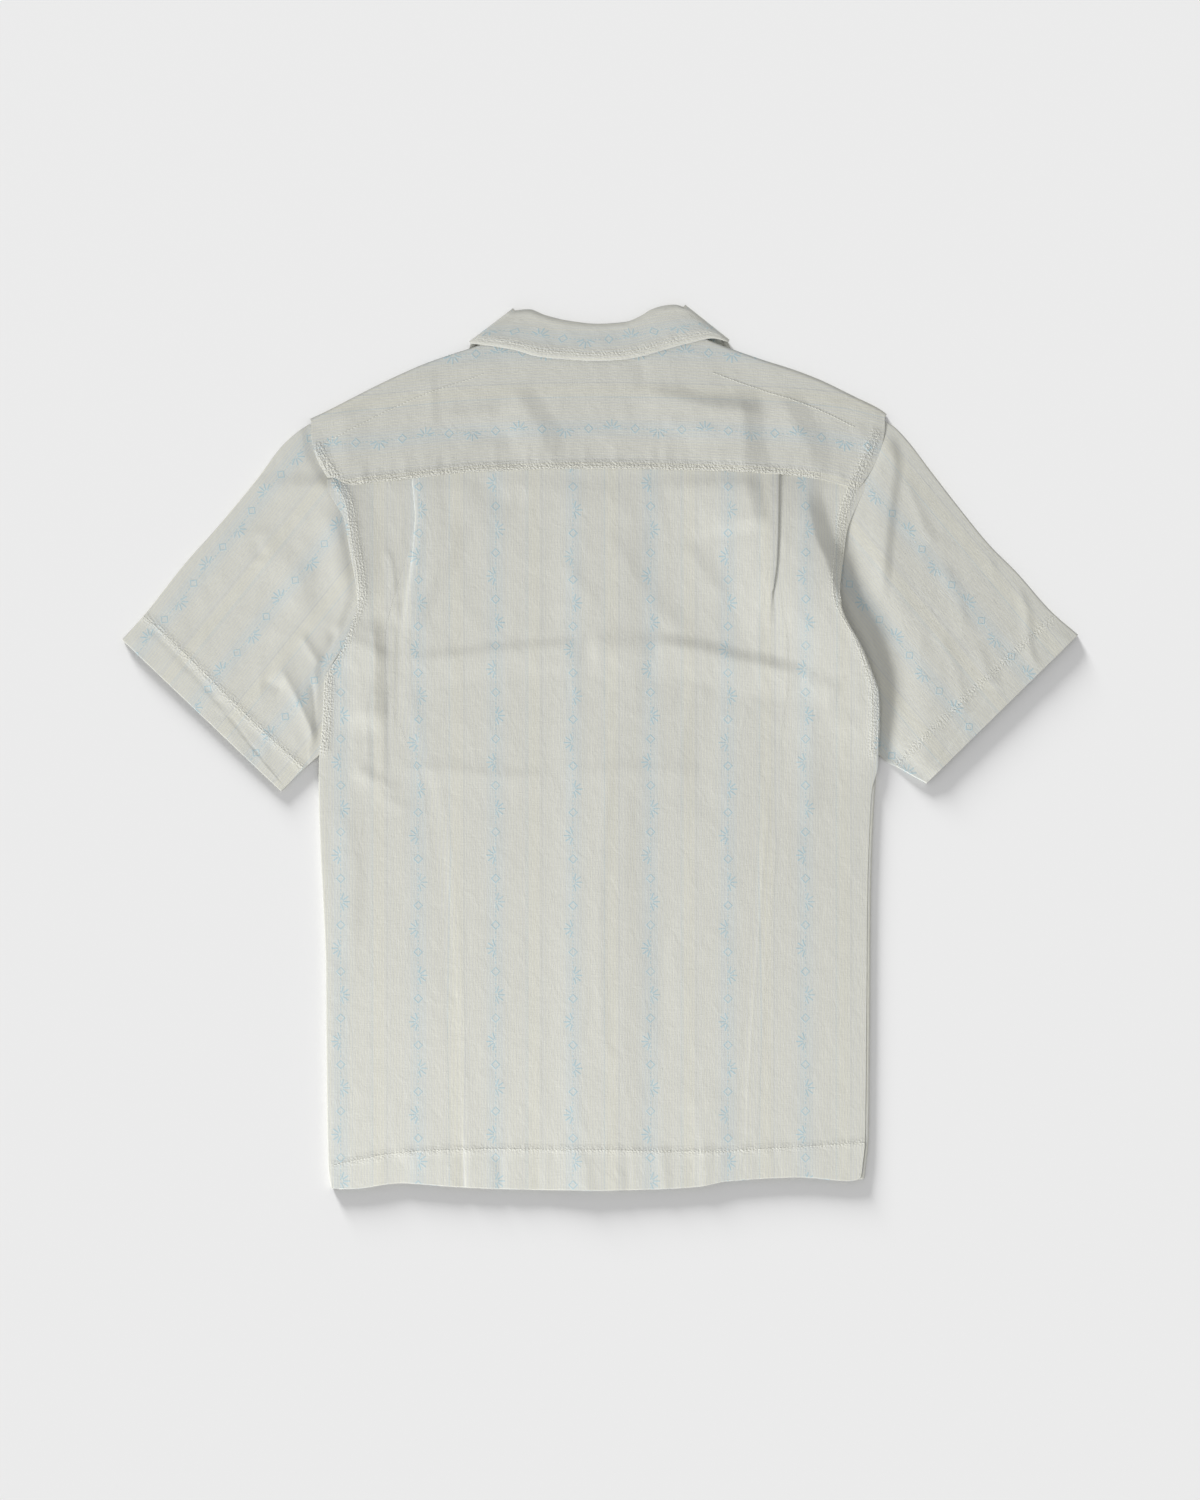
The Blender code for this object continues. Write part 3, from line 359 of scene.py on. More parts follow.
def cubic(x, y, value):
    """Values of a monotone cubic through points."""
    x, y = np.asarray(x, float), np.asarray(y, float)
    value = np.clip(np.asarray(value, float), x[0], x[-1])
    m = slopes(x, y)
    i = np.clip(np.searchsorted(x, value, side="right") - 1, 0, len(x) - 2)
    h = x[i + 1] - x[i]
    t = (value - x[i]) / h
    a = (1 + 2 * t) * (1 - t) ** 2 * y[i] + t**2 * (3 - 2 * t) * y[i + 1]
    return a + h * (t * (1 - t) ** 2 * m[i] - t**2 * (1 - t) * m[i + 1])


def table(rows, value, column=1):
    """One column of a table, read smoothly at a value of its first column."""
    rows = sorted(rows)
    return cubic([row[0] for row in rows], [row[column] for row in rows], value)


def smooth(low, high, value):
    """0 below low, 1 above high, and a soft step between."""
    t = np.clip((np.asarray(value, float) - low) / (high - low), 0.0, 1.0)
    return t * t * (3.0 - 2.0 * t)


def along(points, t):
    """Points at shares t of a smooth curve through the points."""
    points = np.asarray(points, float)
    run = np.concatenate([[0.0], np.cumsum(np.hypot(*np.diff(points, axis=0).T))])
    run /= run[-1]
    return np.stack([cubic(run, points[:, 0], t), cubic(run, points[:, 1], t)], axis=-1)


def line_distance(x, y, points):
    """Distance to a polyline, the share of its length at the nearest point, and the side: 1 on its left."""
    best = np.full(np.shape(x), 1e9)
    share = np.zeros(np.shape(x))
    side = np.ones(np.shape(x))
    run = 0.0
    for (ax, ay), (bx, by) in zip(points, points[1:]):
        dx, dy = bx - ax, by - ay
        length = math.hypot(dx, dy)
        t = np.clip(((x - ax) * dx + (y - ay) * dy) / length**2, 0.0, 1.0)
        d = np.hypot(x - ax - t * dx, y - ay - t * dy)
        near = d < best
        share = np.where(near, run + t * length, share)
        side = np.where(near, np.sign(dx * (y - ay) - dy * (x - ax)), side)
        best = np.minimum(best, d)
        run += length
    return best, share / run, side


def crease_height(x, y, creases):
    """Sum of a table of creases; each one fades out at its two ends."""
    z = np.zeros(np.shape(x))
    for points, wide_left, wide_right, height, power in creases:
        points = [tuple(p) for p in along(points, np.linspace(0, 1, 3 * len(points)))]
        d, share, side = line_distance(x, y, points)
        width = np.where(side > 0, wide_left, wide_right)
        fade = smooth(0, 0.22, share) * smooth(0, 0.22, 1 - share)
        if power:
            z += height * fade * np.exp(-((np.sqrt(d * d + 0.6) / width) ** power))
        else:
            z += height * fade * np.clip(1.05 - np.sqrt(d * d / width**2 + 0.0025), 0.0, 1.0)
    return z


lattice = np.random.default_rng(11).uniform(-1.0, 1.0, (64, 64))


def noise(x, y):
    """Smooth value noise, one bump per unit."""
    xi, yi = np.floor(x).astype(int), np.floor(y).astype(int)
    fx, fy = x - xi, y - yi
    fx, fy = fx * fx * (3 - 2 * fx), fy * fy * (3 - 2 * fy)
    at = lambda i, j: lattice[(xi + i) % 64, (yi + j) % 64]
    low = at(0, 0) * (1 - fx) + at(1, 0) * fx
    high = at(0, 1) * (1 - fx) + at(1, 1) * fx
    return low * (1 - fy) + high * fy


def rumple(x, y, strength=1.0):
    """The uneven lie of worn cloth: soft swells, and short creases that run with and across the grain."""
    warp = 9 * noise(x / 60 + 5, y / 60)
    swell = 0.55 * noise(x / 48, y / 70 + 3)
    long_creases = -0.42 * np.abs(noise((x + warp) / 17, (y + warp) / 46 + 9)) ** 0.7
    cross_creases = -0.3 * np.abs(noise((x + 0.7 * y) / 30 + 20, (y - 0.6 * x + warp) / 15)) ** 0.7
    small = 0.12 * noise(x / 7, y / 10)
    return strength * (swell + long_creases + cross_creases + small + 0.3)


def zone_distance(x, y, zone):
    """Distance to a closed outline, 0 inside it."""
    inside = np.zeros(np.shape(x), bool)
    for (ax, ay), (bx, by) in zip(zone, zone[1:] + zone[:1]):
        crosses = (ay > y) != (by > y)
        at = (bx - ax) * (y - ay) / ((by - ay) or 1e-9) + ax
        inside ^= crosses & (x < at)
    return np.where(inside, 0.0, line_distance(x, y, zone + zone[:1])[0])


def mirrored(points):
    return tuple((-x, y) for x, y in points)


def leaf_lift(x, y):
    """How far the collar's leaves and the lapels lift the cloth over them."""
    d = np.minimum(zone_distance(x, y, LEAF_ZONE), zone_distance(x, y, mirrored(LEAF_ZONE)))
    return STEP * (1.0 - smooth(14, 32, d))


def button_lift(x, y):
    """How far the buttons lift the cloth over them."""
    lift = np.zeros(np.shape(x))
    for centre in BUTTON_Y:
        lift = np.maximum(lift, 1.0 - smooth(9, 30, np.abs(y - centre)))
    return BUTTON_LIFT * lift * (1.0 - smooth(9, BUTTON_SPREAD, np.abs(x)))


# Mesh helpers
def normals_of(grid, ring, flip):
    """Outer unit normals of a grid of points: rows, columns, xyz."""
    down = np.gradient(grid, axis=0)
    if ring:
        across = (np.roll(grid, -1, axis=1) - np.roll(grid, 1, axis=1)) / 2
    else:
        across = np.gradient(grid, axis=1)
    n = np.cross(across, down)
    n /= np.maximum(np.linalg.norm(n, axis=-1, keepdims=True), 1e-9)
    return -n if flip else n


def turn_over(angle):
    """Reach and drop of a pressed fold at an angle: flatter on top than a circle, and steeper at its edge."""
    side, up = math.sin(angle), math.cos(angle)
    return max(side, 0.0) ** 0.55, math.copysign(abs(up) ** 0.55, up)


def fold_in(grid, uv, axis, last, radius, lip, ring=False, flip=False, arc=4, steps=4, squeeze=1.0):
    """Turns one edge of a grid under: an arc to the inside, then a lip that follows the cloth above it."""
    n = normals_of(grid, ring, flip)
    if axis == 1:
        grid, uv, n = (a.swapaxes(0, 1) for a in (grid, uv, n))
    if not last:
        grid, uv, n = grid[::-1], uv[::-1], n[::-1]
    apart = np.linalg.norm(np.diff(grid[::-1], axis=0), axis=-1)
    run = np.concatenate([np.zeros((1, grid.shape[1])), np.cumsum(apart, axis=0)])
    back, back_n, back_uv = grid[::-1], n[::-1], uv[::-1]
    spacing = np.maximum(run[1][:, None], 1e-6)
    out = (back[0] - back[1]) / spacing
    out -= back_n[0] * (out * back_n[0]).sum(axis=-1, keepdims=True)
    out /= np.maximum(np.linalg.norm(out, axis=-1, keepdims=True), 1e-6)
    uv_out = (back_uv[0] - back_uv[1]) / spacing
    radius = np.broadcast_to(np.asarray(radius, float), (grid.shape[1],))[:, None]
    reach_out = radius * np.broadcast_to(np.asarray(squeeze, float), (grid.shape[1],))[:, None]
    lip = np.broadcast_to(np.asarray(lip, float), (grid.shape[1],))
    # One more row just inside the edge keeps the shading of the fold off the flat cloth
    inside = np.minimum(0.5, 0.4 * spacing)
    grid = np.concatenate([grid[:-1], [back[0] - (back[0] - back[1]) / spacing * inside], grid[-1:]])
    uv = np.concatenate([uv[:-1], [back_uv[0] - uv_out * inside], uv[-1:]])
    rows, uvs = [], []
    for a in np.linspace(0, math.pi, arc + 1)[1:]:
        side, up = turn_over(a)
        rows.append(back[0] + out * reach_out * side - back_n[0] * radius * (1 - up))
        uvs.append(uv[-1] + uv_out * radius * a)
    columns = np.arange(grid.shape[1])
    for share in np.linspace(0, 1, steps + 1)[1:]:
        reach = lip * share
        k = np.clip((run < reach).sum(axis=0), 1, len(run) - 1)
        passed, ahead = run[k - 1, columns], run[k, columns]
        part = ((reach - passed) / np.maximum(ahead - passed, 1e-6))[:, None]
        spot = back[k - 1, columns] * (1 - part) + back[k, columns] * part
        facing = back_n[k - 1, columns] * (1 - part) + back_n[k, columns] * part
        rows.append(spot - facing * 2 * radius)
        uvs.append(uv[-1] + uv_out * (radius * math.pi + reach[:, None]))
    grid, uv = np.concatenate([grid, rows]), np.concatenate([uv, uvs])
    if not last:
        grid, uv = grid[::-1], uv[::-1]
    if axis == 1:
        grid, uv = grid.swapaxes(0, 1), uv.swapaxes(0, 1)
    return grid, uv


def cloth_piece(name, grid, uv, material, seams, ring, flip):
    """A thin shell of cloth on a grid of outer-face points, with its woven pattern laid by UV in metres."""
    rows, columns = grid.shape[:2]
    wide = columns if ring else columns - 1
    r, c = np.meshgrid(np.arange(rows - 1), np.arange(wide), indexing="ij")
    d = (c + 1) % columns
    here, below = r * columns, (r + 1) * columns
    quads = np.stack([here + c, here + d, below + d, below + c], axis=-1).reshape(-1, 4)
    if flip:
        quads = quads[:, ::-1]
    mesh = bpy.data.meshes.new(name)
    mesh.vertices.add(rows * columns)
    mesh.vertices.foreach_set("co", (grid.reshape(-1, 3) * MM).ravel())
    mesh.loops.add(quads.size)
    mesh.loops.foreach_set("vertex_index", quads.ravel().astype(np.int32))
    mesh.polygons.add(len(quads))
    mesh.polygons.foreach_set("loop_start", np.arange(0, quads.size, 4, dtype=np.int32))
    mesh.polygons.foreach_set("use_smooth", np.ones(len(quads), bool))
    mesh.update(calc_edges=True)
    layer = mesh.uv_layers.new(name="weave")
    layer.data.foreach_set("uv", (uv.reshape(-1, 2)[quads.ravel()] * MM).ravel())
    x, y = grid[..., 0].ravel(), grid[..., 1].ravel()
    drawn_in = np.zeros(x.shape)
    for line, reach, depth in seams:
        drawn_in = np.maximum(drawn_in, depth * np.exp(-((line_distance(x, y, line)[0] / reach) ** 2)))
    mesh.attributes.new("pucker", "FLOAT", "POINT").data.foreach_set("value", drawn_in.astype(np.float32))
    mesh.materials.append(material)
    obj = bpy.data.objects.new(name, mesh)
    bpy.context.scene.collection.objects.link(obj)
    shell = obj.modifiers.new("Ply", "SOLIDIFY")
    shell.thickness = PLY * MM
    shell.offset = -1.0
    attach(obj, "root")
    return obj


# Back panel
def spaced(low, high, step):
    """Even places from low to high, about a step apart."""
    count = max(int(round((high - low) / (step * COARSE))), 2)
    return np.linspace(low, high, count + 1)


def pleat_bump(x, y):
    """Rise of the cloth between the two pleats, over the plies folded under it."""
    left, right = table(LEFT_PLEAT, y), table(RIGHT_PLEAT, y)
    sloping = 1.0 - 0.45 * np.clip((x - left) / 22, 0.0, 1.0)
    high_left = table(LEFT_PLEAT_LAP, y, 2) * sloping * (1.0 - smooth(21, 27, x - left))
    high_right = table(RIGHT_PLEAT_LAP, y, 2) * (1.0 - smooth(2, 100, right - x))
    return np.where((x >= left) & (x <= right), np.maximum(high_left, high_right), 0.0)


def crest_rise(x, y):
    """The thick right side, which stands over the sleeve and falls to the armhole."""
    inside = table(RIGHT_EDGE, y) - table(CREST, y) - x
    slope_in = 1.0 - smooth(6, 105, inside)
    slope_out = np.clip(1.0 + inside / table(CREST, y, 3), 0.0, 1.0)
    return table(CREST, y, 2) * np.where(inside > 0, slope_in, slope_out)


def left_armhole_rise(y, away):
    """The cloth that stands up along the upper left armhole."""
    fall = ARMHOLE_RISE * np.clip(1.0 - (away - 1.0) / ARMHOLE_REACH, 0.0, 1.0) ** 1.6
    return fall * smooth(110, 150, y) * (1.0 - smooth(225, 240, y))


def back_level(x, y):
    """Height of the back's outer face."""
    left, right = table(LEFT_EDGE, y), table(RIGHT_EDGE, y)
    over_placket = (1.0 - smooth(18, 46, np.abs(x))) * (1.0 - smooth(208, 236, y))
    from_edge = np.minimum(x - left, right - x)
    calm = smooth(0.5, 9, from_edge)
    near_seam = 1.0 - smooth(226, 240, y)
    worn = 0.35 + 0.3 * smooth(-60, 60, y)
    folds = (crease_height(x, y, BACK_CREASES) + rumple(x, y, worn)) * calm * (0.3 + 0.7 * near_seam)
    # Over a tucked sleeve end the cloth can't sink
    over_sleeve = (1.0 - smooth(10, 14, from_edge)) * smooth(-30, -10, y)
    deepest = DEEPEST_FOLD + 0.4 * over_placket + 1.25 * over_sleeve
    rise = PLACKET_RISE * over_placket - 0.9 * smooth(222, 240, y)
    rise = rise + left_armhole_rise(y, x - left)
    edge = -0.25 * (1.0 - smooth(0, 5, from_edge))
    return BODY_TOP + rise + edge + np.maximum(folds, deepest) + crest_rise(x, y)


def pleat_path(line, laps, y, side):
    """Places and levels of a knife pleat from under cloth to upper cloth; side 1 laps to the left."""
    edge, lap, height = float(table(line, y)), float(table(laps, y)), float(table(laps, y, 2))
    low = 0.12 * height
    if lap >= 0:
        turn = [(lap, 0.5 * low), (lap - 0.5, low), (lap * 0.5, low)]
        bend = [(0.9, low)]
        bend += [(x, rise * height) for x, rise in ((0.2, 0.2), (-0.25, 0.55), (0.2, 0.86), (0.9, 0.97))]
    else:
        turn = [(lap - part * lap, rise * height) for part, rise in ((0.2, 0.02), (0.4, 0.1), (0.6, 0.24))]
        bend = [(lap * 0.25, 0.4 * height)]
        bend += [(x, rise * height) for x, rise in ((0.0, 0.62), (0.5, 0.8), (1.2, 0.92), (2.2, 0.98))]
    path = [(lap - 5.0, 0.0), (lap - 0.5, 0.0)] + turn + bend + [(6.0, height)]
    return [(edge + side * x, z) for x, z in path]


def left_roll(y):
    """Radius of the back's left edge, and how far it is pressed: the side rolls down to the table."""
    low = 1.0 - smooth(-36, -12, y)
    return ARMHOLE_FOLD + (BACK_ROLL - ARMHOLE_FOLD) * low, 1.0 - (1.0 - PRESSED) * low


def right_roll(y):
    """Radius of the back's right edge: a pressed fold, but a round roll where it bulges over the sleeve."""
    return ARMHOLE_FOLD + (2.0 - ARMHOLE_FOLD) * smooth(-20, 5, y) * (1.0 - smooth(110, 175, y))


def back_piece():
    """The back from under the yoke to its turned hem, with a knife pleat on each side."""
    ys = np.concatenate([spaced(PANEL_LOW, -352, 2.8)[:-1], spaced(-352, PANEL_TOP, 2.9)])[::-1]
    left_count = len(spaced(-240, -146, 2.7))
    mid_count = len(spaced(-132, 148, 2.7))
    right_count = len(spaced(156, 236, 2.7))
    xs, lifts, at = [], [], []
    for y in ys:
        low = float(1.0 - smooth(-36, -12, y))
        radius_left, pressed = left_roll(y)
        left = float(table(LEFT_EDGE, y)) + float(radius_left * pressed)
        right = float(table(RIGHT_EDGE, y)) - right_roll(y) - STRIP * low
        fold_l, fold_r = float(table(LEFT_PLEAT, y)), float(table(RIGHT_PLEAT, y))
        path_l = pleat_path(LEFT_PLEAT, LEFT_PLEAT_LAP, y, 1)
        path_r = pleat_path(RIGHT_PLEAT, RIGHT_PLEAT_LAP, y, -1)[::-1]
        a = np.linspace(left, path_l[0][0], left_count + 1)[:-1]
        b = np.linspace(path_l[-1][0], path_r[0][0], mid_count + 1)[1:-1]
        c = np.linspace(path_r[-1][0], right, right_count + 1)[1:]
        x = np.concatenate([a, [p[0] for p in path_l], b, [p[0] for p in path_r], c])
        lift = np.concatenate([a * 0, [p[1] for p in path_l], b * 0 - 1, [p[1] for p in path_r], c * 0])
        where = np.concatenate([a, [fold_l] * len(path_l), b, [fold_r] * len(path_r), c])
        xs.append(x)
        lifts.append(lift)
        at.append(where)
    x, lift, where = np.array(xs), np.array(lifts), np.array(at)
    y = np.repeat(ys[:, None], x.shape[1], axis=1)
    down = (PANEL_TOP - y) / (PANEL_TOP - PANEL_LOW)
    moved = (table(YOKE_SEAM, x) + YOKE_LAP) * (1 - down) + table(HEM_LINE, x) * down
    true_y = moved + (y - PANEL_TOP * (1 - down) - PANEL_LOW * down)
    bump = np.where(lift < 0, pleat_bump(x, y), lift)
    z = back_level(x, true_y) + bump
    # The turned-up hem is a double ply, and draws in along its stitches
    below = table(HEM_STITCH, x) - true_y
    pucker = 0.24 * noise(x / 4.6, y * 0 + 4) + 0.18 * noise(x / 2.3, y * 0 + 8)
    z += smooth(0, 3, below) * (0.3 + 0.15 * noise(x / 8.0, true_y / 60 + 30))
    z += pucker * np.exp(-((below / 6.0) ** 2))
    grid = np.stack([x, true_y, z], axis=-1)
    uv = np.stack([where * 0.2 + x * 0.8 + 23.5, true_y], axis=-1)
    radius_left, pressed = left_roll(ys)
    lip = np.where(ys < -24, SIDE_LIP + (1.0 - PRESSED) * BACK_ROLL, 6.0)
    grid, uv = fold_in(grid, uv, 1, False, radius_left, lip, flip=True, arc=6, steps=2, squeeze=pressed)
    grid, uv = fold_in(grid, uv, 1, True, right_roll(ys), 6.0, flip=True, arc=6, steps=2)
    # The turned-up hem ends just inside the folded sides
    turned = np.arange(grid.shape[1])
    inner = (turned >= SIDE_COLUMNS) & (turned < grid.shape[1] - SIDE_COLUMNS)
    radius, lip = np.where(inner, FOLD_RADIUS, BURIED_FOLD), np.where(inner, HEM_LIP, BURIED_LIP)
    grid, uv = fold_in(grid, uv, 0, True, radius, lip, flip=True)
    grid[..., 2] = np.maximum(grid[..., 2], 0.0)
    return grid, uv


# Yoke
def yoke_piece():
    """The yoke, from its seam on the back over the shoulders to its lip on the fronts."""
    shares = spaced(0, YOKE_WIDE, 2.9) / YOKE_WIDE
    low_x, high_x = -229.5 + 454 * shares, -252.4 + 502 * shares
    side = np.where(shares < 0.5, -1.0, 1.0)
    end = np.clip(1.0 - np.minimum(shares, 1.0 - shares) / 0.12, 0.0, 1.0)
    seam, top = table(YOKE_SEAM, low_x), table(SHOULDER, high_x)
    neck = 1.0 - smooth(84, 104, np.abs(high_x))
    lip_level = leaf_lift(high_x, top) * (1.0 - neck) + (YOKE_TOP - 2.0) * neck
    radius = (YOKE_TOP - lip_level) / 2.0
    lip = 6.0 * neck + YOKE_LIP * (1.0 - neck)
    slope = np.gradient(top, high_x)
    nx, ny = -slope / np.hypot(slope, 1), 1 / np.hypot(slope, 1)
    under = [pleat_bump(low_x + dx, 240.0) * (1 - abs(dx) / 14) for dx in range(-12, 13, 3)]
    pleats = 0.7 * np.max(under, axis=0)
    rows, uvs = [], []
    for w in np.concatenate([[0.0, 0.012, 0.03], spaced(0.055, 1.0, 0.027)]):
        x = low_x + (high_x - low_x) * w + side * end * 7.0 * 4 * w * (1 - w) - nx * radius * w
        y = seam + (top - radius * ny - seam) * w
        lapped = 1.0 - smooth(0.1, 0.42, w)
        base = (YOKE_TOP + 0.05 + pleats) * lapped + YOKE_TOP * (1.0 - lapped)
        from_end = np.minimum(shares, 1 - shares)
        calm = smooth(0.0, 0.02, from_end) * (0.4 + 0.6 * smooth(0.0, 0.12, w)) * (1 - smooth(0.84, 0.98, w))
        z = base + (crease_height(x, y, YOKE_CREASES) + 0.6 * rumple(x + 300, y)) * calm
        z = z - 0.3 * (1.0 - smooth(0, 0.02, from_end))
        # Small upright puckers along the seam
        pucker = 0.75 * np.maximum(noise(x / 6.5, y * 0 + 2) + 0.5 * noise(x / 3.1, y * 0 + 6), -0.15)
        z = z + pucker * np.exp(-(((w - 0.05) / 0.13) ** 2)) * smooth(0, 0.06, w)
        rows.append(np.stack([x, y, z], axis=-1))
        uvs.append(np.stack([y - seam - 34.5, x + 34.0], axis=-1))
    for a in np.linspace(0, math.pi, 8)[1:]:
        side_share, up = turn_over(a)
        out = radius * (side_share - 1.0)
        rows.append(np.stack([high_x + nx * out, top + ny * out, YOKE_TOP - radius * (1.0 - up)], axis=-1))
        uvs.append(uvs[-1] + np.stack([radius * math.pi / 7, high_x * 0], axis=-1))
    for w in spaced(0, 1, 0.12)[1:]:
        x, y = high_x - nx * radius, top - ny * radius - (lip - radius) * w
        drop = leaf_lift(x, y) * (1.0 - neck) + lip_level * neck
        x = np.clip(x, table(LEFT_EDGE, y) + 1.0 + shares, table(RIGHT_EDGE, y) - 2.0 + shares)
        rows.append(np.stack([x, y, drop], axis=-1))
        uvs.append(uvs[-1] + np.stack([(lip - radius) * 0.12, high_x * 0], axis=-1))
    grid, uv = np.array(rows), np.array(uvs)
    grid, uv = fold_in(grid, uv, 0, False, FOLD_RADIUS, 7.0, steps=2)
    grid, uv = fold_in(grid, uv, 1, False, ARMHOLE_FOLD, 4.0, steps=2)
    return fold_in(grid, uv, 1, True, ARMHOLE_FOLD, 4.0, steps=2)


# Fronts, seen only from below
def front_piece(mirror):
    """One front, seen from below; the mirrored one is the right front."""
    sign = -1.0 if mirror else 1.0
    edge_table = [(y, -x) for y, x in RIGHT_EDGE] if mirror else LEFT_EDGE
    hem = [(sign * a, b) for a, b in HEM_LINE]
    # Rows slant from the side to the middle, one at each pair of heights, then run level to the hem
    key_side = [259.5, 248, 236, 222, 207, 193, 180, 172, 168, 163, 150, 138, 105, PANEL_LOW]
    key_mid = [335, 320, 304, 284, 262, 238, 220, 206, 198, 189, 171, 150, 105, PANEL_LOW]
    slanted = np.linspace(0, 1, len(key_side) - 1)
    level = key_side[-2] - PANEL_LOW
    run = np.concatenate([slanted[:-1], 1 + spaced(0, level, 5.0) / level])
    side_keys = np.interp(run, np.append(slanted, 2.0), key_side)
    mid_keys = np.interp(run, np.append(slanted, 2.0), key_mid)
    rows, uvs = [], []
    for y_side, y_mid in zip(side_keys, mid_keys):
        low = float(1.0 - smooth(-36, -14, y_side))
        edge = float(table(edge_table, y_side))
        inset = SIDE_ROLL - 0.2 if mirror else SIDE_ROLL + SIDE_LIP + 0.3
        start = edge + inset * low + (1 - low)
        centre = float(table(FRONT_NECK, y_mid)) if y_mid > 190 else PLACKET_HALF
        dense = centre - 30.0
        wide = np.concatenate([np.linspace(start, dense, 40)[:-1], np.linspace(dense, centre, 15)])
        share = (wide - start) / (centre - start)
        y = y_side + (y_mid - y_side) * share
        y = y + (table(hem, wide) + 2.0 + 383.0) * smooth(-300, -383, y)
        z = np.maximum(leaf_lift(wide, y), button_lift(wide, y))
        if mirror:
            over = (1.0 - smooth(16.5, 40, -wide)) * (1.0 - smooth(212, 220, y))
            z = z + over * (PLY + 0.45)
        rows.append(np.stack([sign * wide, y, z], axis=-1))
        uvs.append(np.stack([sign * wide + 10.0, y], axis=-1))
    grid, uv = np.array(rows), np.array(uvs)
    low = 1.0 - smooth(-36, -14, side_keys)
    if mirror:
        # The right front rolls up round the side and shows as a narrow strip beside the back
        radius = 0.35 + (SIDE_ROLL - 0.2 - 0.35) * low
        grid, uv = fold_in(grid, uv, 1, False, radius, 0.5, flip=mirror, arc=8, steps=1)
    return fold_in(grid, uv, 0, True, FOLD_RADIUS, HEM_LIP, flip=mirror, steps=3)


# Sleeves
def sleeve_piece(edge, upper, lower, creases, outward, origin, grain):
    """A flattened tube from the armhole to its turned cuff. Outward is 1 on the right and -1 on the left."""
    count = len(spaced(0, 300, 3.2))
    shares = np.linspace(0.0, 1.0, count)
    armhole = [upper[0]] + [(x, y) for y, x in edge if -6 < y < upper[0][1] - 8] + [lower[0]]
    outline = [(x, y) for y, x in edge if -40 < y < 300]
    cuff = [upper[-1], lower[-1]]
    start = along(armhole, shares)

    def patch(v):
        """The row at share v of the way out, on a surface spanned between the four outlines."""
        s = shares[:, None]
        finish = np.asarray(cuff[0], float) + np.subtract(cuff[1], cuff[0]) * s
        blend = (1 - s) * along(upper, v) + s * along(lower, v) + (1 - v) * start + v * finish
        inner = (1 - s) * start[0] + s * start[-1]
        outer = (1 - s) * finish[0] + s * finish[-1]
        return blend - ((1 - v) * inner + v * outer)

    rows = []
    main = np.concatenate([spaced(0, CUFF_HEM, 0.0135)[:-1], spaced(CUFF_HEM, 1.0, 0.0115)])
    for v in np.concatenate([[-2.0, -1.3, -0.6], main]):
        plan = patch(max(v, 0.0))
        if v < 0:
            tuck = SLEEVE_TUCK * -v / 2.0
            drift = 0.9 * tuck * shares**6 - 0.15 * tuck * (1 - shares) ** 6
            plan = plan + np.stack([-outward * tuck + 0 * shares, drift], axis=-1)
        away = line_distance(plan[:, 0], plan[:, 1], outline)[0] if v > 0 else np.zeros(count)
        # Beside the bulge of the right side the sleeve lies low, in its shade
        dip = smooth(-40, -5, plan[:, 1]) * (1.0 - smooth(140, 205, plan[:, 1])) * (outward > 0)
        grow = smooth(0.5, 9 + 12 * dip, away)
        lift = smooth(0.5, 9 + 41 * dip + 26 * (1 - dip) * (outward > 0), away)
        calm = smooth(0, 0.07, shares) * smooth(0, 0.07, 1 - shares)
        high = ARMHOLE_TOP - SLEEVE_DIP * dip + (SLEEVE_TOP - ARMHOLE_TOP + SLEEVE_DIP * dip) * lift
        bumps = crease_height(plan[:, 0], plan[:, 1], creases) + 0.6 * rumple(plan[:, 0], plan[:, 1])
        in_hem = float(smooth(CUFF_HEM, 0.91, v))
        stitch = -0.3 * math.exp(-(((v - 0.9) / 0.006) ** 2))
        gather = 0.25 * math.exp(-(((v - CUFF_HEM) / 0.02) ** 2))
        stitch = stitch + gather * noise(plan[:, 1] / 5.0, plan[:, 0] * 0)
        high = high - 1.3 * dip * smooth(0.5, 9, away) * (1.0 - smooth(12, 44, away))
        high = high + grow * calm * (0.4 + bumps) + calm * (0.3 * in_hem + stitch)
        high = high - 1.2 * smooth(0.9, 1.0, shares) * smooth(0.0, 0.3, v)
        if outward < 0:
            from_armhole = tuck if v < 0 else away / 2.5
            high = high + left_armhole_rise(plan[:, 1], from_armhole)
        low = SLEEVE_UNDER * (1.0 - smooth(4, 16, away))
        ends = {}
        for end, near in ((0, 1), (-1, -2)):
            out = plan[end] - plan[near]
            out = out / np.hypot(*out)
            radius = (high[end] - low[end]) / 2.0
            arc = []
            for a in np.linspace(0, math.pi, ARC_COLUMNS + 2)[1:-1]:
                side, up = turn_over(a)
                flat = plan[end] - out * FOLD_REACH * radius * (1.0 - side)
                arc.append((flat[0], flat[1], low[end] + radius * (1.0 + up)))
            ends[end] = (out, FOLD_REACH * radius, arc)
        top = np.column_stack([plan, high])
        under = np.column_stack([plan, low])[:: max(int(3 / COARSE), 1)]
        under[-1] = (*plan[-1], low[-1])
        for sheet_rows in (top, under):
            sheet_rows[0, :2] -= ends[0][0] * ends[0][1]
            sheet_rows[-1, :2] -= ends[-1][0] * ends[-1][1]
        rows.append(np.concatenate([top, ends[-1][2], under[::-1], ends[0][2][::-1]]))
    grid = np.array(rows)
    grain = np.array(grain) / np.hypot(*grain)
    across = np.array([-grain[1], grain[0]]) * outward
    flat = grid[..., :2] - np.array(origin)
    uv = np.stack([flat @ across, flat @ grain], axis=-1)
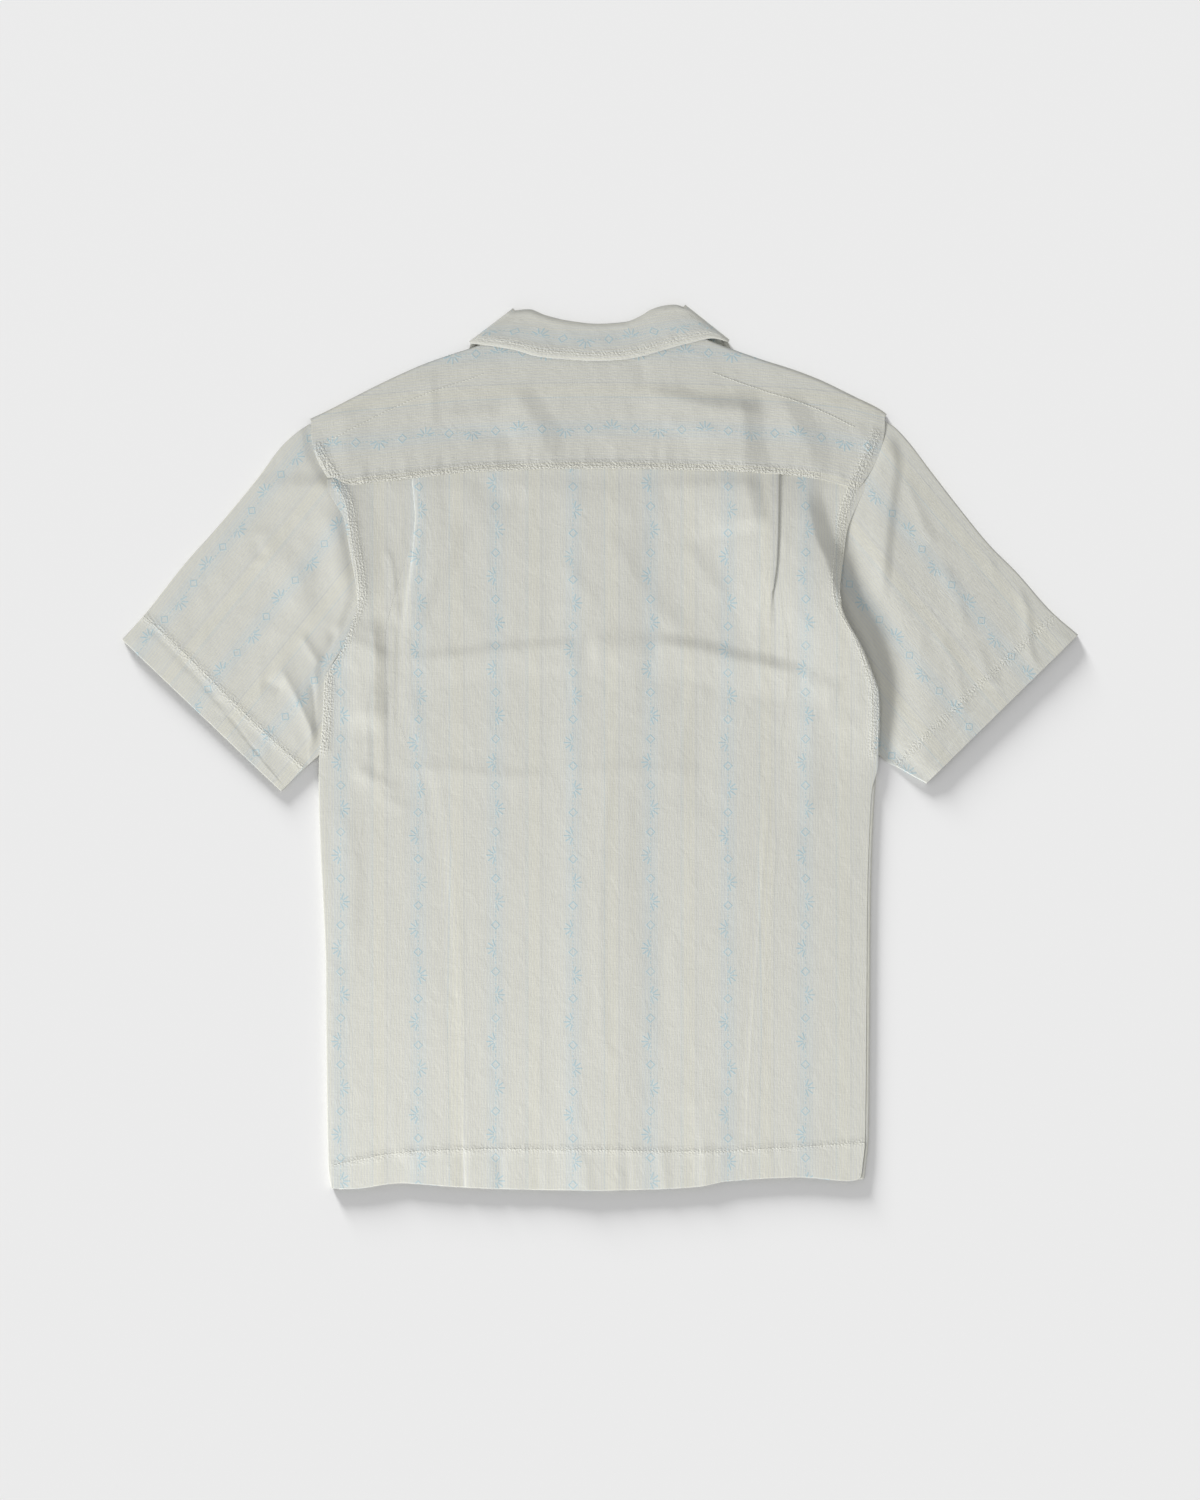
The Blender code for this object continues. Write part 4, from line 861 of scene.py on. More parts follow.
    # The turned hem stays clear of the two tight folds of the flattened tube
    lip = np.full(grid.shape[1], CUFF_LIP)
    lip[: FOLD_COLUMNS - ARC_COLUMNS] = BURIED_LIP
    lip[count - 3 : count + FOLD_COLUMNS] = BURIED_LIP
    lip[-FOLD_COLUMNS:] = BURIED_LIP
    grid, uv = fold_in(grid, uv, 0, True, CUFF_RADIUS, lip, ring=True, flip=outward < 0, steps=5)
    uv[..., 1] += FIGURE_START
    return grid, uv


# Collar
def collar_piece():
    """The collar in columns from one front leaf round the neck to the other."""
    columns = []
    leaf = np.array(COLLAR_LEAF, float)[::-1]
    keys = np.linspace(0, 1, len(leaf))
    fine = spaced(0, 1, 0.045)
    left = np.stack([cubic(keys, leaf[:, i], fine) for i in range(6)], axis=-1)
    turns = np.linspace(1, 0, 10)[1:-1]
    out_left = (-LEAF_OUT[0], LEAF_OUT[1])
    for row in left:
        columns.append((row[0:2], row[2:4], row[4:6], 1.0, out_left))
    for turn in turns:
        columns.append((*TURN_LEFT, turn, out_left))
    for share in spaced(0, 1, 0.0135):
        neck_x = -84 + 168 * share
        neck = (neck_x, float(table(SHOULDER, neck_x)) + 0.9)
        columns.append((along(COLLAR_ROLL, share), along(COLLAR_EDGE, share), neck, 0.0, (0.0, 1.0)))
    for turn in turns[::-1]:
        columns.append((*TURN_RIGHT, turn, LEAF_OUT))
    for row in left[::-1]:
        row = row * np.array([-1, 1, -1, 1, -1, 1])
        columns.append((row[0:2], row[2:4], row[4:6], 1.0, LEAF_OUT))
    grid, uvs, run, before = [], [], 0.0, None
    for roll, edge, neck, turn, out in columns:
        roll, edge, neck = (np.array(p, float) for p in (roll, edge, neck))
        angle = math.pi * turn
        half_fall = FALL_TOP / 2.0
        fall_z = half_fall * (1.0 + math.cos(angle))
        stand_z = (STAND_FACE + STAND_BACK) / 2.0 + (STAND_FACE - STAND_BACK) / 2.0 * math.cos(angle)
        swing = np.array(out) * math.sin(angle)
        up = roll - (edge + neck) / 2.0
        up = up / np.hypot(*up)
        top_side = max(math.cos(angle), 0.0)
        middle = roll + (edge - roll) * 0.5
        if before is not None:
            swept = 0.6 * half_fall * math.pi / 9 * (0 < turn < 1)
            run += max(np.hypot(*(middle - before)), swept)
        before = middle
        length = np.hypot(*(edge - roll))
        column, uv = [], []
        for t in np.concatenate([spaced(0, 0.14, 0.035)[:-1], spaced(0.14, 0.86, 0.05)])[:, None]:
            t = 1.0 - float(t[0])
            flat = roll + (edge - roll) * t + swing * half_fall * FALL_SWING
            body = math.sin(math.pi * (1 - t) / 0.86) if t > 0.14 else 0.0
            hump = 0.3 * float(smooth(0.0, 0.05, 1 - t)) - 1.4 * float(smooth(0.1, 0.86, 1 - t)) + 0.2
            stitched = -0.25 * math.exp(-((length * (1 - t) - 6.0) ** 2) / 1.6)
            lift = top_side * (0.7 * rumple(flat[0] * 1.4 + 90, flat[1] * 1.4) * body + hump + stitched)
            column.append((flat[0], flat[1], fall_z + float(lift)))
            uv.append((length * (1 - t) - 18.5, run))
        fall_z = column[-1][2]
        half = abs(fall_z - stand_z) / 2.0
        for a in np.linspace(0, math.pi, 9)[1:-1]:
            mix = (1.0 - math.cos(a)) / 2.0
            flat = roll + up * (math.sin(a) - 1.0) * half * 0.8
            flat = flat + swing * (half_fall * FALL_SWING * (1 - mix) + STAND_SWING * mix)
            column.append((flat[0], flat[1], fall_z + (stand_z - fall_z) * mix))
            uv.append((length - 18.5 + a * half, run))
        for t in (0.25, 0.5, 0.75, 1.0):
            flat = roll - up * half
            flat = flat + (neck - flat) * t + swing * STAND_SWING
            column.append((flat[0], flat[1], stand_z))
            uv.append((length - 18.5 + 3 * half + 18 * t, run))
        grid.append(column)
        uvs.append(uv)
    grid, uv = np.array(grid), np.array(uvs)
    # A diamond sits where the figure's row passes just right of the centre back
    middle = np.argmin(np.abs(grid[:, 0, 0] - 9.6) + 1000 * (grid[:, 0, 1] < 330))
    uv[..., 1] += FIGURE_START - uv[middle, 0, 1]
    return fold_in(grid, uv, 1, False, FOLD_RADIUS, 9.0, flip=True, steps=2)


# Facings
def facing_piece(mirror):
    """The turned-back lapel's facing, from its roll to its edge."""
    sign = -1.0 if mirror else 1.0
    keys = np.linspace(0, 1, len(LAPEL))
    lapel = np.array(LAPEL, float)
    grid, uvs = [], []
    for share in spaced(0, 1, 0.04):
        roll_x, roll_y, edge_x, edge_y = (float(cubic(keys, lapel[:, i], share)) for i in range(4))
        roll, out = np.array([roll_x, roll_y]), np.array([edge_x - roll_x, edge_y - roll_y])
        length = np.hypot(*out)
        out = out / length
        radius = FACING_ROLL
        row = [(roll + out * d, 2 * radius) for d in (12.0, 9.0, 6.0, radius)]
        for a in np.linspace(0, math.pi, 8)[1:-1]:
            row.append((roll + out * radius * (1 - math.sin(a)), radius * (1 + math.cos(a))))
        row += [(roll + out * d, 0.0) for d in np.linspace(radius, length, 16)]
        grid.append([(sign * p[0], p[1], z) for p, z in row])
        uvs.append([(sign * p[0] + 10.0, p[1]) for p, z in row])
    return np.array(grid), np.array(uvs)


# Node helpers
class Wire:
    """One value in a shader tree, so that sums of values read as formulas."""

    def __init__(self, tree, socket):
        self.tree, self.socket = tree, socket

    def __add__(self, other):
        return maths("ADD", self, other)

    def __sub__(self, other):
        return maths("SUBTRACT", self, other)

    def __rsub__(self, other):
        return maths("SUBTRACT", other, self)

    def __mul__(self, other):
        return maths("MULTIPLY", self, other)

    def __truediv__(self, other):
        return maths("DIVIDE", self, other)

    def __gt__(self, other):
        return maths("GREATER_THAN", self, other)

    def __abs__(self):
        return maths("ABSOLUTE", self)


def plug(value, socket):
    """Feeds an input socket with a wire, or sets it to a plain value."""
    if isinstance(value, Wire):
        value.tree.links.new(value.socket, socket)
    else:
        socket.default_value = value


def maths(operation, *values):
    tree = next(value.tree for value in values if isinstance(value, Wire))
    node = tree.nodes.new("ShaderNodeMath")
    node.operation = operation
    for socket, value in zip(node.inputs, values):
        plug(value, socket)
    return Wire(tree, node.outputs[0])


def mix_colour(share, a, b):
    """Colour a with a share of colour b."""
    node = share.tree.nodes.new("ShaderNodeMix")
    node.data_type = "RGBA"
    for value, index in ((share, 0), (a, 6), (b, 7)):
        plug(value, node.inputs[index])
    return Wire(share.tree, node.outputs[2])


def band(value, centre, half, soft):
    """1 where value is within half of centre, falling to 0 over soft."""
    node = value.tree.nodes.new("ShaderNodeClamp")
    plug((abs(value - centre) - half) / soft, node.inputs[0])
    return 1.0 - Wire(value.tree, node.outputs[0])


def stretched(vector, scale):
    node = vector.tree.nodes.new("ShaderNodeVectorMath")
    node.operation = "MULTIPLY"
    plug(vector, node.inputs[0])
    plug(scale, node.inputs[1])
    return Wire(vector.tree, node.outputs[0])


def noise_value(vector, scale, detail=2.0, distortion=0.0):
    """Noise from 0 to 1 with its own scale along each axis."""
    node = vector.tree.nodes.new("ShaderNodeTexNoise")
    plug(stretched(vector, scale), node.inputs["Vector"])
    for label, value in (("Scale", 1.0), ("Detail", detail), ("Distortion", distortion)):
        plug(value, node.inputs[label])
    return Wire(vector.tree, node.outputs["Fac"])


GROUND = (0.640, 0.648, 0.598, 1.0)
GROUND_BLUE = (0.585, 0.635, 0.625, 1.0)
GROUND_CREAM = (0.680, 0.672, 0.575, 1.0)
GROUND_LILAC = (0.600, 0.600, 0.610, 1.0)
FIGURE_BLUE = (0.400, 0.560, 0.620, 1.0)
LINE_BLUE = (0.470, 0.570, 0.590, 1.0)
LINE_GREY = (0.480, 0.490, 0.480, 1.0)


def woven_figure():
    """The yarn-dyed stripes, the woven figure in them and the relief of the weave, on UV in metres."""
    tree = bpy.data.node_groups.new("woven figure", "ShaderNodeTree")
    for direction, label, kind in (
        ("INPUT", "Weave", "NodeSocketVector"),
        ("INPUT", "Pucker", "NodeSocketFloat"),
        ("OUTPUT", "Colour", "NodeSocketColor"),
        ("OUTPUT", "Relief", "NodeSocketFloat"),
        ("OUTPUT", "Crinkle", "NodeSocketFloat"),
    ):
        tree.interface.new_socket(label, in_out=direction, socket_type=kind)
    given, result = tree.nodes.new("NodeGroupInput"), tree.nodes.new("NodeGroupOutput")
    weave = stretched(Wire(tree, given.outputs["Weave"]), (1000.0, 1000.0, 0.0))
    apart = tree.nodes.new("ShaderNodeSeparateXYZ")
    plug(weave, apart.inputs[0])
    u, v = Wire(tree, apart.outputs[0]), Wire(tree, apart.outputs[1])

    column = maths("FLOOR", u / REPEAT + 0.5)
    du = u - column * REPEAT
    row = (v - (maths("FLOORED_MODULO", column, 2.0) * HALF_DROP + FIGURE_START)) / DIAMOND_STEP

    # Diamonds
    dv = (row - maths("FLOOR", row + 0.5)) * DIAMOND_STEP
    diamond = band(abs(du) + abs(dv), 3.6, 0.4, 0.5)

    # Half daisies between them, turned to alternate sides
    gap = maths("FLOOR", row)
    dw = (row - gap - 0.5) * DIAMOND_STEP
    dx = du * (1.0 - maths("FLOORED_MODULO", gap + column, 2.0) * 2.0)
    radius = maths("SQRT", dx * dx + dw * dw)
    angle = maths("ARCTAN2", dw, dx) / PETAL_TURN
    beside_petal = (angle - maths("FLOOR", angle + 0.5)) * PETAL_TURN * radius
    ray = band(beside_petal, 0.0, 0.35, 0.45) * band(radius, 5.1, 2.7, 0.6) * (dx > -0.4)

    # The stem, woven as dashes
    stem = band(du, 0.0, 0.25, 0.4) * (maths("SINE", v * 1.7) > -0.1) * (abs(dv) > 5.5)
    figure = maths("MAXIMUM", maths("MAXIMUM", diamond, ray), stem * 0.75)
    patchy = noise_value(weave, (0.05, 0.05, 0.0))
    worn = patchy * 0.9 + noise_value(weave, (0.9, 1.6, 0.0), 1.0) * 0.55

    # Grounds: bluish along the figures, cream halfway between them, fine uneven pinstripes all over
    edge = abs(du)
    streak = noise_value(weave, (0.42, 0.006, 0.0))
    thread = noise_value(weave, (2.6, 0.05, 0.0), 1.0)
    pins = maths("SINE", u * (2 * math.pi / 2.55)) * 0.5 + 0.5
    # Single dyed lines lie either side of the cream ground
    dots = maths("SINE", v * 2.6) * 0.3 + 0.6
    patches = patchy * 1.2 + 0.1
    colour = GROUND
    for share, dye in (
        (band(edge, 0.0, 5.0, 4.0) * 0.75, GROUND_BLUE),
        (band(edge, 17.0, 3.0, 9.0) * 0.35, GROUND_CREAM),
        (band(edge, 33.7, 3.6, 3.0) * 0.8, GROUND_CREAM),
        (pins * (streak * 0.9), GROUND_CREAM),
        ((1.0 - pins) * (thread * 0.85), GROUND_LILAC),
        (band(du, 27.4, 0.3, 0.6) * (dots * 0.55) * patches, LINE_BLUE),
        (band(du, -27.4, 0.25, 0.6) * 0.35 * patches, LINE_GREY),
        (band(edge, 10.5, 0.25, 0.5) * 0.2, GROUND_BLUE),
        (figure * maths("MINIMUM", worn, 0.8), FIGURE_BLUE),
    ):
        colour = mix_colour(share, colour, dye)

    # Relief: the threads, slubs, the raised figure, and the gathers along the seams
    warp, weft = maths("SINE", u * (2 * math.pi / 0.62)), maths("SINE", v * (2 * math.pi / 0.70))
    slub = noise_value(weave, (1.1, 0.16, 0.0)) * 0.16
    weft_slub = noise_value(weave, (0.12, 1.3, 0.0)) * 0.11
    gathers = noise_value(weave, (0.55, 0.55, 0.0)) * Wire(tree, given.outputs["Pucker"])
    relief = (warp + weft) * 0.03 + slub + weft_slub + figure * 0.06 + gathers
    crinkle = noise_value(weave, (0.085, 0.06, 0.0), 4.0, 0.9)
    pucker = noise_value(weave, (0.30, 0.12, 0.0), 2.0, 0.4)
    plug(colour, result.inputs["Colour"])
    plug(relief, result.inputs["Relief"])
    plug(crinkle * 2.2 + pucker * 0.55, result.inputs["Crinkle"])
    return tree


figure_group = woven_figure()


def new_material(name):
    material = bpy.data.materials.new(name)
    material.use_nodes = True
    return material, material.node_tree, material.node_tree.nodes["Principled BSDF"]


def bump(height, distance):
    """A bump node whose relief is distance in metres."""
    node = height.tree.nodes.new("ShaderNodeBump")
    plug(1.0, node.inputs["Strength"])
    plug(distance, node.inputs["Distance"])
    plug(height, node.inputs["Height"])
    return node


def cloth_material(name, crumple=1.0, weave=1.0):
    """The woven cloth; each piece has its own strength of crumple and weave."""
    material, tree, shader = new_material(name)
    uv = tree.nodes.new("ShaderNodeUVMap")
    uv.uv_map = "weave"
    figure = tree.nodes.new("ShaderNodeGroup")
    figure.node_tree = figure_group
    tree.links.new(uv.outputs["UV"], figure.inputs["Weave"])
    drawn_in = tree.nodes.new("ShaderNodeAttribute")
    drawn_in.attribute_name = "pucker"
    tree.links.new(drawn_in.outputs["Fac"], figure.inputs["Pucker"])
    tree.links.new(figure.outputs["Colour"], shader.inputs["Base Color"])
    coarse = bump(Wire(tree, figure.outputs["Crinkle"]), 0.00018 * crumple)
    fine = bump(Wire(tree, figure.outputs["Relief"]), 0.001 * weave)
    tree.links.new(coarse.outputs["Normal"], fine.inputs["Normal"])
    tree.links.new(fine.outputs["Normal"], shader.inputs["Normal"])
    for label, value in (
        ("Roughness", 0.86), ("Specular IOR Level", 0.25), ("Sheen Weight", 0.12), ("Sheen Roughness", 0.6),
    ):
        plug(value, shader.inputs[label])
    return material


def resin_material():
    """Pale button resin with a faint shell-like swirl."""
    material, tree, shader = new_material("button resin")
    place = Wire(tree, tree.nodes.new("ShaderNodeTexCoord").outputs["Object"])
    swirl = noise_value(place, (220.0, 420.0, 300.0), 3.0, 1.6)
    plug(mix_colour(swirl, (0.60, 0.60, 0.56, 1.0), (0.78, 0.77, 0.71, 1.0)), shader.inputs["Base Color"])
    plug(swirl * 0.2 + 0.2, shader.inputs["Roughness"])
    plug(0.3, shader.inputs["Coat Weight"])
    return material


def thread_material(name, colour, pale):
    material, tree, shader = new_material(name)
    place = Wire(tree, tree.nodes.new("ShaderNodeTexCoord").outputs["Object"])
    lint = noise_value(place, (900.0, 900.0, 900.0))
    plug(mix_colour(lint, colour, pale), shader.inputs["Base Color"])
    tree.links.new(bump(lint, 0.00008).outputs["Normal"], shader.inputs["Normal"])
    plug(0.75, shader.inputs["Roughness"])
    return material


# Lines of the plan that carry stitches
def beside(line, distance):
    """The line moved to its left by distance."""
    line = np.asarray(line, float)
    run = np.gradient(line, axis=0)
    run /= np.hypot(*run.T)[:, None]
    return line + distance * np.stack([-run[:, 1], run[:, 0]], axis=-1)


back_hem = [(x, y) for x, y in HEM_STITCH if -236 < x < 232]
yoke_row = [(x, y + 1.6) for x, y in YOKE_SEAM if -226 < x < 222]
armhole_left = [(x, y) for y, x in LEFT_EDGE if -12 < y < 285]
armhole_right = [(x, y) for y, x in RIGHT_EDGE if -6 < y < 285]
armholes = [
    beside(armhole_left, 1.6), beside(armhole_left, 7.2),
    beside(armhole_right, -1.6), beside(armhole_right, -7.2),
]
armhole_puckers = [(beside(armhole_left, 4.4), 5.0, 1.7), (beside(armhole_right, -4.4), 5.0, 1.7)]
LEFT_CUFF_STITCH = ((-398, 114.5), (-378, 97), (-340, 60), (-300, 20), (-258.5, -18))
RIGHT_CUFF_STITCH = ((397, 115), (371, 92), (330, 54), (297, 22), (269, -5), (258, -15))
collar_row = beside(COLLAR_EDGE, 5.6)


# Cloth pieces
made = {}


def add_cloth(node, shape, material, seams=(), ring=False, flip=False):
    """Makes the cloth that stands for one solid."""
    name = f"{node}_cloth"
    made[name] = cloth_piece(name, *shape, material, seams, ring, flip)
    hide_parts(node)


back_puckers = [(back_hem, 3, 1.0)] + armhole_puckers
yoke_puckers = [(yoke_row, 5, 1.4)] + armhole_puckers
add_cloth("back", back_piece(), cloth_material("back voile"), back_puckers, flip=True)
add_cloth("yoke", yoke_piece(), cloth_material("yoke voile", 1.1, 1.7), yoke_puckers)
for side, mirror in (("left", False), ("right", True)):
    add_cloth(f"front_{side}", front_piece(mirror), cloth_material(f"{side} front voile"), flip=mirror)
    add_cloth(
        f"facing_{side}", facing_piece(mirror), cloth_material(f"{side} facing voile", 0.5), flip=not mirror
    )
sleeve = sleeve_piece(
    LEFT_EDGE, LEFT_UPPER, LEFT_LOWER, SLEEVE_LEFT_CREASES, -1.0, (-328.4, 174.0), (-0.626, -0.78)
)
cloth = cloth_material("left sleeve voile", 0.6)
add_cloth("sleeve_left", sleeve, cloth, [(LEFT_CUFF_STITCH, 4, 1.0)], ring=True, flip=True)
sleeve = sleeve_piece(
    RIGHT_EDGE, RIGHT_UPPER, RIGHT_LOWER, SLEEVE_RIGHT_CREASES, 1.0, (306.0, 141.0), (0.640, -0.768)
)
cloth = cloth_material("right sleeve voile", 1.0, 1.4)
add_cloth("sleeve_right", sleeve, cloth, [(RIGHT_CUFF_STITCH, 4, 1.0)], ring=True)
add_cloth("collar", collar_piece(), cloth_material("collar voile", 1.2), [(collar_row, 4, 1.0)], flip=True)


# Sewing: single stitches laid along the seams, on the cloth
def surface_height():
    """Finds the cloth at a point of the plan, from above or below: the spot in metres and its normal."""
    trees = {}
    for name, obj in made.items():
        mesh = obj.data
        points = [v.co.copy() for v in mesh.vertices]
        faces = [tuple(f.vertices) for f in mesh.polygons]
        trees[name] = BVHTree.FromPolygons(points, faces)

    def find(name, x, y, up=True):
        start = Vector((x * MM, y * MM, 0.05 if up else -0.05))
        spot, facing, _, _ = trees[name].ray_cast(start, Vector((0, 0, -1 if up else 1)))
        return spot, facing

    return find


find_cloth = surface_height()


def one_stitch(name, length, radius):
    """One stitch as a flattened bead of thread."""
    bpy.ops.object.select_all(action="DESELECT")
    bpy.ops.mesh.primitive_uv_sphere_add(segments=6, ring_count=5, radius=1.0)
    stitch = bpy.context.object
    stitch.name = name
    bpy.ops.object.mode_set(mode="EDIT")
    bpy.ops.mesh.select_all(action="SELECT")
    bpy.ops.transform.rotate(value=math.pi / 2, orient_axis="Y", center_override=(0, 0, 0))
    bpy.ops.transform.resize(value=(length / 2 * MM, radius * MM, radius * MM), center_override=(0, 0, 0))
    bpy.ops.object.mode_set(mode="OBJECT")
    points = np.array([v.co[:] for v in stitch.data.vertices])
    faces = [tuple(f.vertices) for f in stitch.data.polygons]
    bpy.data.objects.remove(stitch)
    return points, faces


def thread_piece(name, points, faces, material):
    """One object of many beads of thread."""
    mesh = bpy.data.meshes.new(name)
    mesh.from_pydata(np.concatenate(points).tolist(), [], faces)
    mesh.polygons.foreach_set("use_smooth", np.ones(len(faces), bool))
    mesh.materials.append(material)
    obj = bpy.data.objects.new(name, mesh)
    bpy.context.scene.collection.objects.link(obj)
    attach(obj, "root")


STITCH = one_stitch("stitch", STITCH_LONG, STITCH_RADIUS)
stitch_rng = np.random.default_rng(5)


def seam(name, lines, cloths, material, up=True):
    """Stitches along each line of the plan, lying on the first of the cloths found there."""
    points, faces = [], []
    for line in lines:
        line = np.asarray(line, float)
        length = np.hypot(*np.diff(line, axis=0).T).sum()
        count = int(length / STITCH_PITCH)
        spots = along(line, (np.arange(count) + 0.5) / count)
        ahead = along(line, np.clip((np.arange(count) + 0.7) / count, 0, 1))
        for (x, y), (ax, ay) in zip(spots, ahead):
            x, y = x + stitch_rng.normal(0, STITCH_JITTER), y + stitch_rng.normal(0, STITCH_JITTER)
            hits = [find_cloth(cloth, x, y, up) for cloth in cloths]
            hits = [hit for hit in hits if hit[0] is not None]
            if not hits:
                continue
            spot, facing = max(hits, key=lambda hit: hit[0].z if up else -hit[0].z)
            facing = facing if (facing.z > 0) == up else -facing
            if abs(facing.z) < 0.35:
                continue
            run = Vector((ax - x, ay - y, 0.0))
            run = (run - facing * run.dot(facing)).normalized()
            frame_of = np.array([run[:], facing.cross(run)[:], facing[:]])
            base = sum(len(p) for p in points)
            points.append(STITCH[0] @ frame_of + np.array((spot + facing * (0.04 if up else -0.2) * MM)[:]))
            faces += [tuple(i + base for i in face) for face in STITCH[1]]
    thread_piece(name, points, faces, material)


thread = thread_material("sewing thread", (0.68, 0.68, 0.62, 1.0), (0.86, 0.86, 0.79, 1.0))
for name, lines, cloths in (
    ("stitches_back_hem", [back_hem], ["back_cloth"]),
    ("stitches_yoke", [yoke_row], ["yoke_cloth"]),
    ("stitches_armholes", armholes, ["back_cloth", "yoke_cloth"]),
    ("stitches_left_cuff", [LEFT_CUFF_STITCH], ["sleeve_left_cloth"]),
    ("stitches_right_cuff", [RIGHT_CUFF_STITCH], ["sleeve_right_cloth"]),
    ("stitches_collar", [collar_row[1:-1]], ["collar_cloth"]),
):
    seam(name, lines, cloths, thread)

# Seams of the underside, on the fronts and on the part of the yoke that turns over the shoulders
fronts = ["front_left_cloth", "front_right_cloth"]
shoulder_rows = [[(x, y - 27) for x, y in SHOULDER if a < x < b] for a, b in ((-240, -96), (96, 240))]
edge_rows = [[(x, y) for y in np.linspace(185, -372, 40)] for x in (8.0, -8.0)]
hem_rows = [
    [(x, table(HEM_LINE, x) + 29) for x in np.linspace(a, b, 20)] for a, b in ((-228, -20), (-18, 226))
]
for name, lines, cloths in (
    ("stitches_shoulders_under", shoulder_rows, ["yoke_cloth"] + fronts),
    ("stitches_front_edge", edge_rows, fronts),
    ("stitches_front_hem", hem_rows, fronts),
):
    seam(name, lines, cloths, thread, up=False)


# Buttons: a turned rim, a dished face and four holes, sewn on with crossed thread
def button_piece(index, y, resin):
    """One four-hole button, its dished face down."""
    bpy.ops.object.select_all(action="DESELECT")
    bpy.ops.mesh.primitive_cylinder_add(
        vertices=40, radius=BUTTON_RADIUS * MM, depth=BUTTON_THICK * MM,
        location=(0.0, y * MM, BUTTON_THICK / 2 * MM),
    )
    button = bpy.context.object
    button.name = f"button_{index}_turned"
    bpy.ops.object.transform_apply(location=True, rotation=True, scale=True)
    bpy.ops.object.mode_set(mode="EDIT")
    mesh = bmesh.from_edit_mesh(button.data)
    for face in mesh.faces:
        face.select_set(face.normal.z < -0.9)
    bmesh.update_edit_mesh(button.data)
    for width, depth in BUTTON_DISH:
        bpy.ops.mesh.inset(thickness=width * MM, depth=depth * MM)
    mesh = bmesh.from_edit_mesh(button.data)
    for face in mesh.faces:
        face.select_set(face.normal.z > 0.9)
    bmesh.update_edit_mesh(button.data)
    bpy.ops.mesh.inset(thickness=1.2 * MM, depth=0.0)
    bpy.ops.object.mode_set(mode="OBJECT")
    for dx, dy in ((-HOLE_OFFSET, -HOLE_OFFSET), (HOLE_OFFSET, -HOLE_OFFSET),
                   (HOLE_OFFSET, HOLE_OFFSET), (-HOLE_OFFSET, HOLE_OFFSET)):
        bpy.ops.object.select_all(action="DESELECT")
        bpy.ops.mesh.primitive_cylinder_add(
            vertices=16, radius=HOLE_RADIUS * MM, depth=5 * MM, location=(dx * MM, (y + dy) * MM, MM)
        )
        drill = bpy.context.object
        bpy.context.view_layer.objects.active = button
        hole = button.modifiers.new("Hole", "BOOLEAN")
        hole.operation = "DIFFERENCE"
        hole.solver = "EXACT"
        hole.object = drill
        bpy.ops.object.modifier_apply(modifier=hole.name)
        bpy.data.objects.remove(drill)
    rounded = button.modifiers.new("Rim", "BEVEL")
    rounded.width = RIM_ROUND * MM
    rounded.segments = 2
    rounded.limit_method = "ANGLE"
    rounded.angle_limit = math.radians(40)
    bpy.ops.object.select_all(action="DESELECT")
    button.select_set(True)
    bpy.context.view_layer.objects.active = button
    bpy.ops.object.modifier_apply(modifier=rounded.name)
    bpy.ops.object.shade_smooth_by_angle(angle=math.radians(35))
    button.data.materials.clear()
    button.data.materials.append(resin)
    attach(button, "root")
    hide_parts(f"button_{index}")


def crossed_thread(index, y, material):
    """Two strands of thread across the holes of one button, and the shank behind it."""
    points, faces = [], []
    bead, bead_faces = one_stitch("strand", 4.6, 0.28)
    for turn, level in ((math.pi / 4, 0.50), (-math.pi / 4, 0.62)):
        turned = np.array(
            [[math.cos(turn), math.sin(turn), 0], [-math.sin(turn), math.cos(turn), 0], [0, 0, 1]]
        )
        for height in (level, BUTTON_THICK + 0.05):
            base = sum(len(p) for p in points)
            points.append(bead @ turned + np.array([0, y * MM, height * MM]))
            faces += [tuple(i + base for i in face) for face in bead_faces]
    thread_piece(f"button_{index}_thread", points, faces, material)


resin = resin_material()
button_thread = thread_material("button thread", (0.60, 0.60, 0.55, 1.0), (0.78, 0.78, 0.73, 1.0))
for index, y in enumerate(BUTTON_Y, start=1):
    button_piece(index, y, resin)
    crossed_thread(index, y, button_thread)


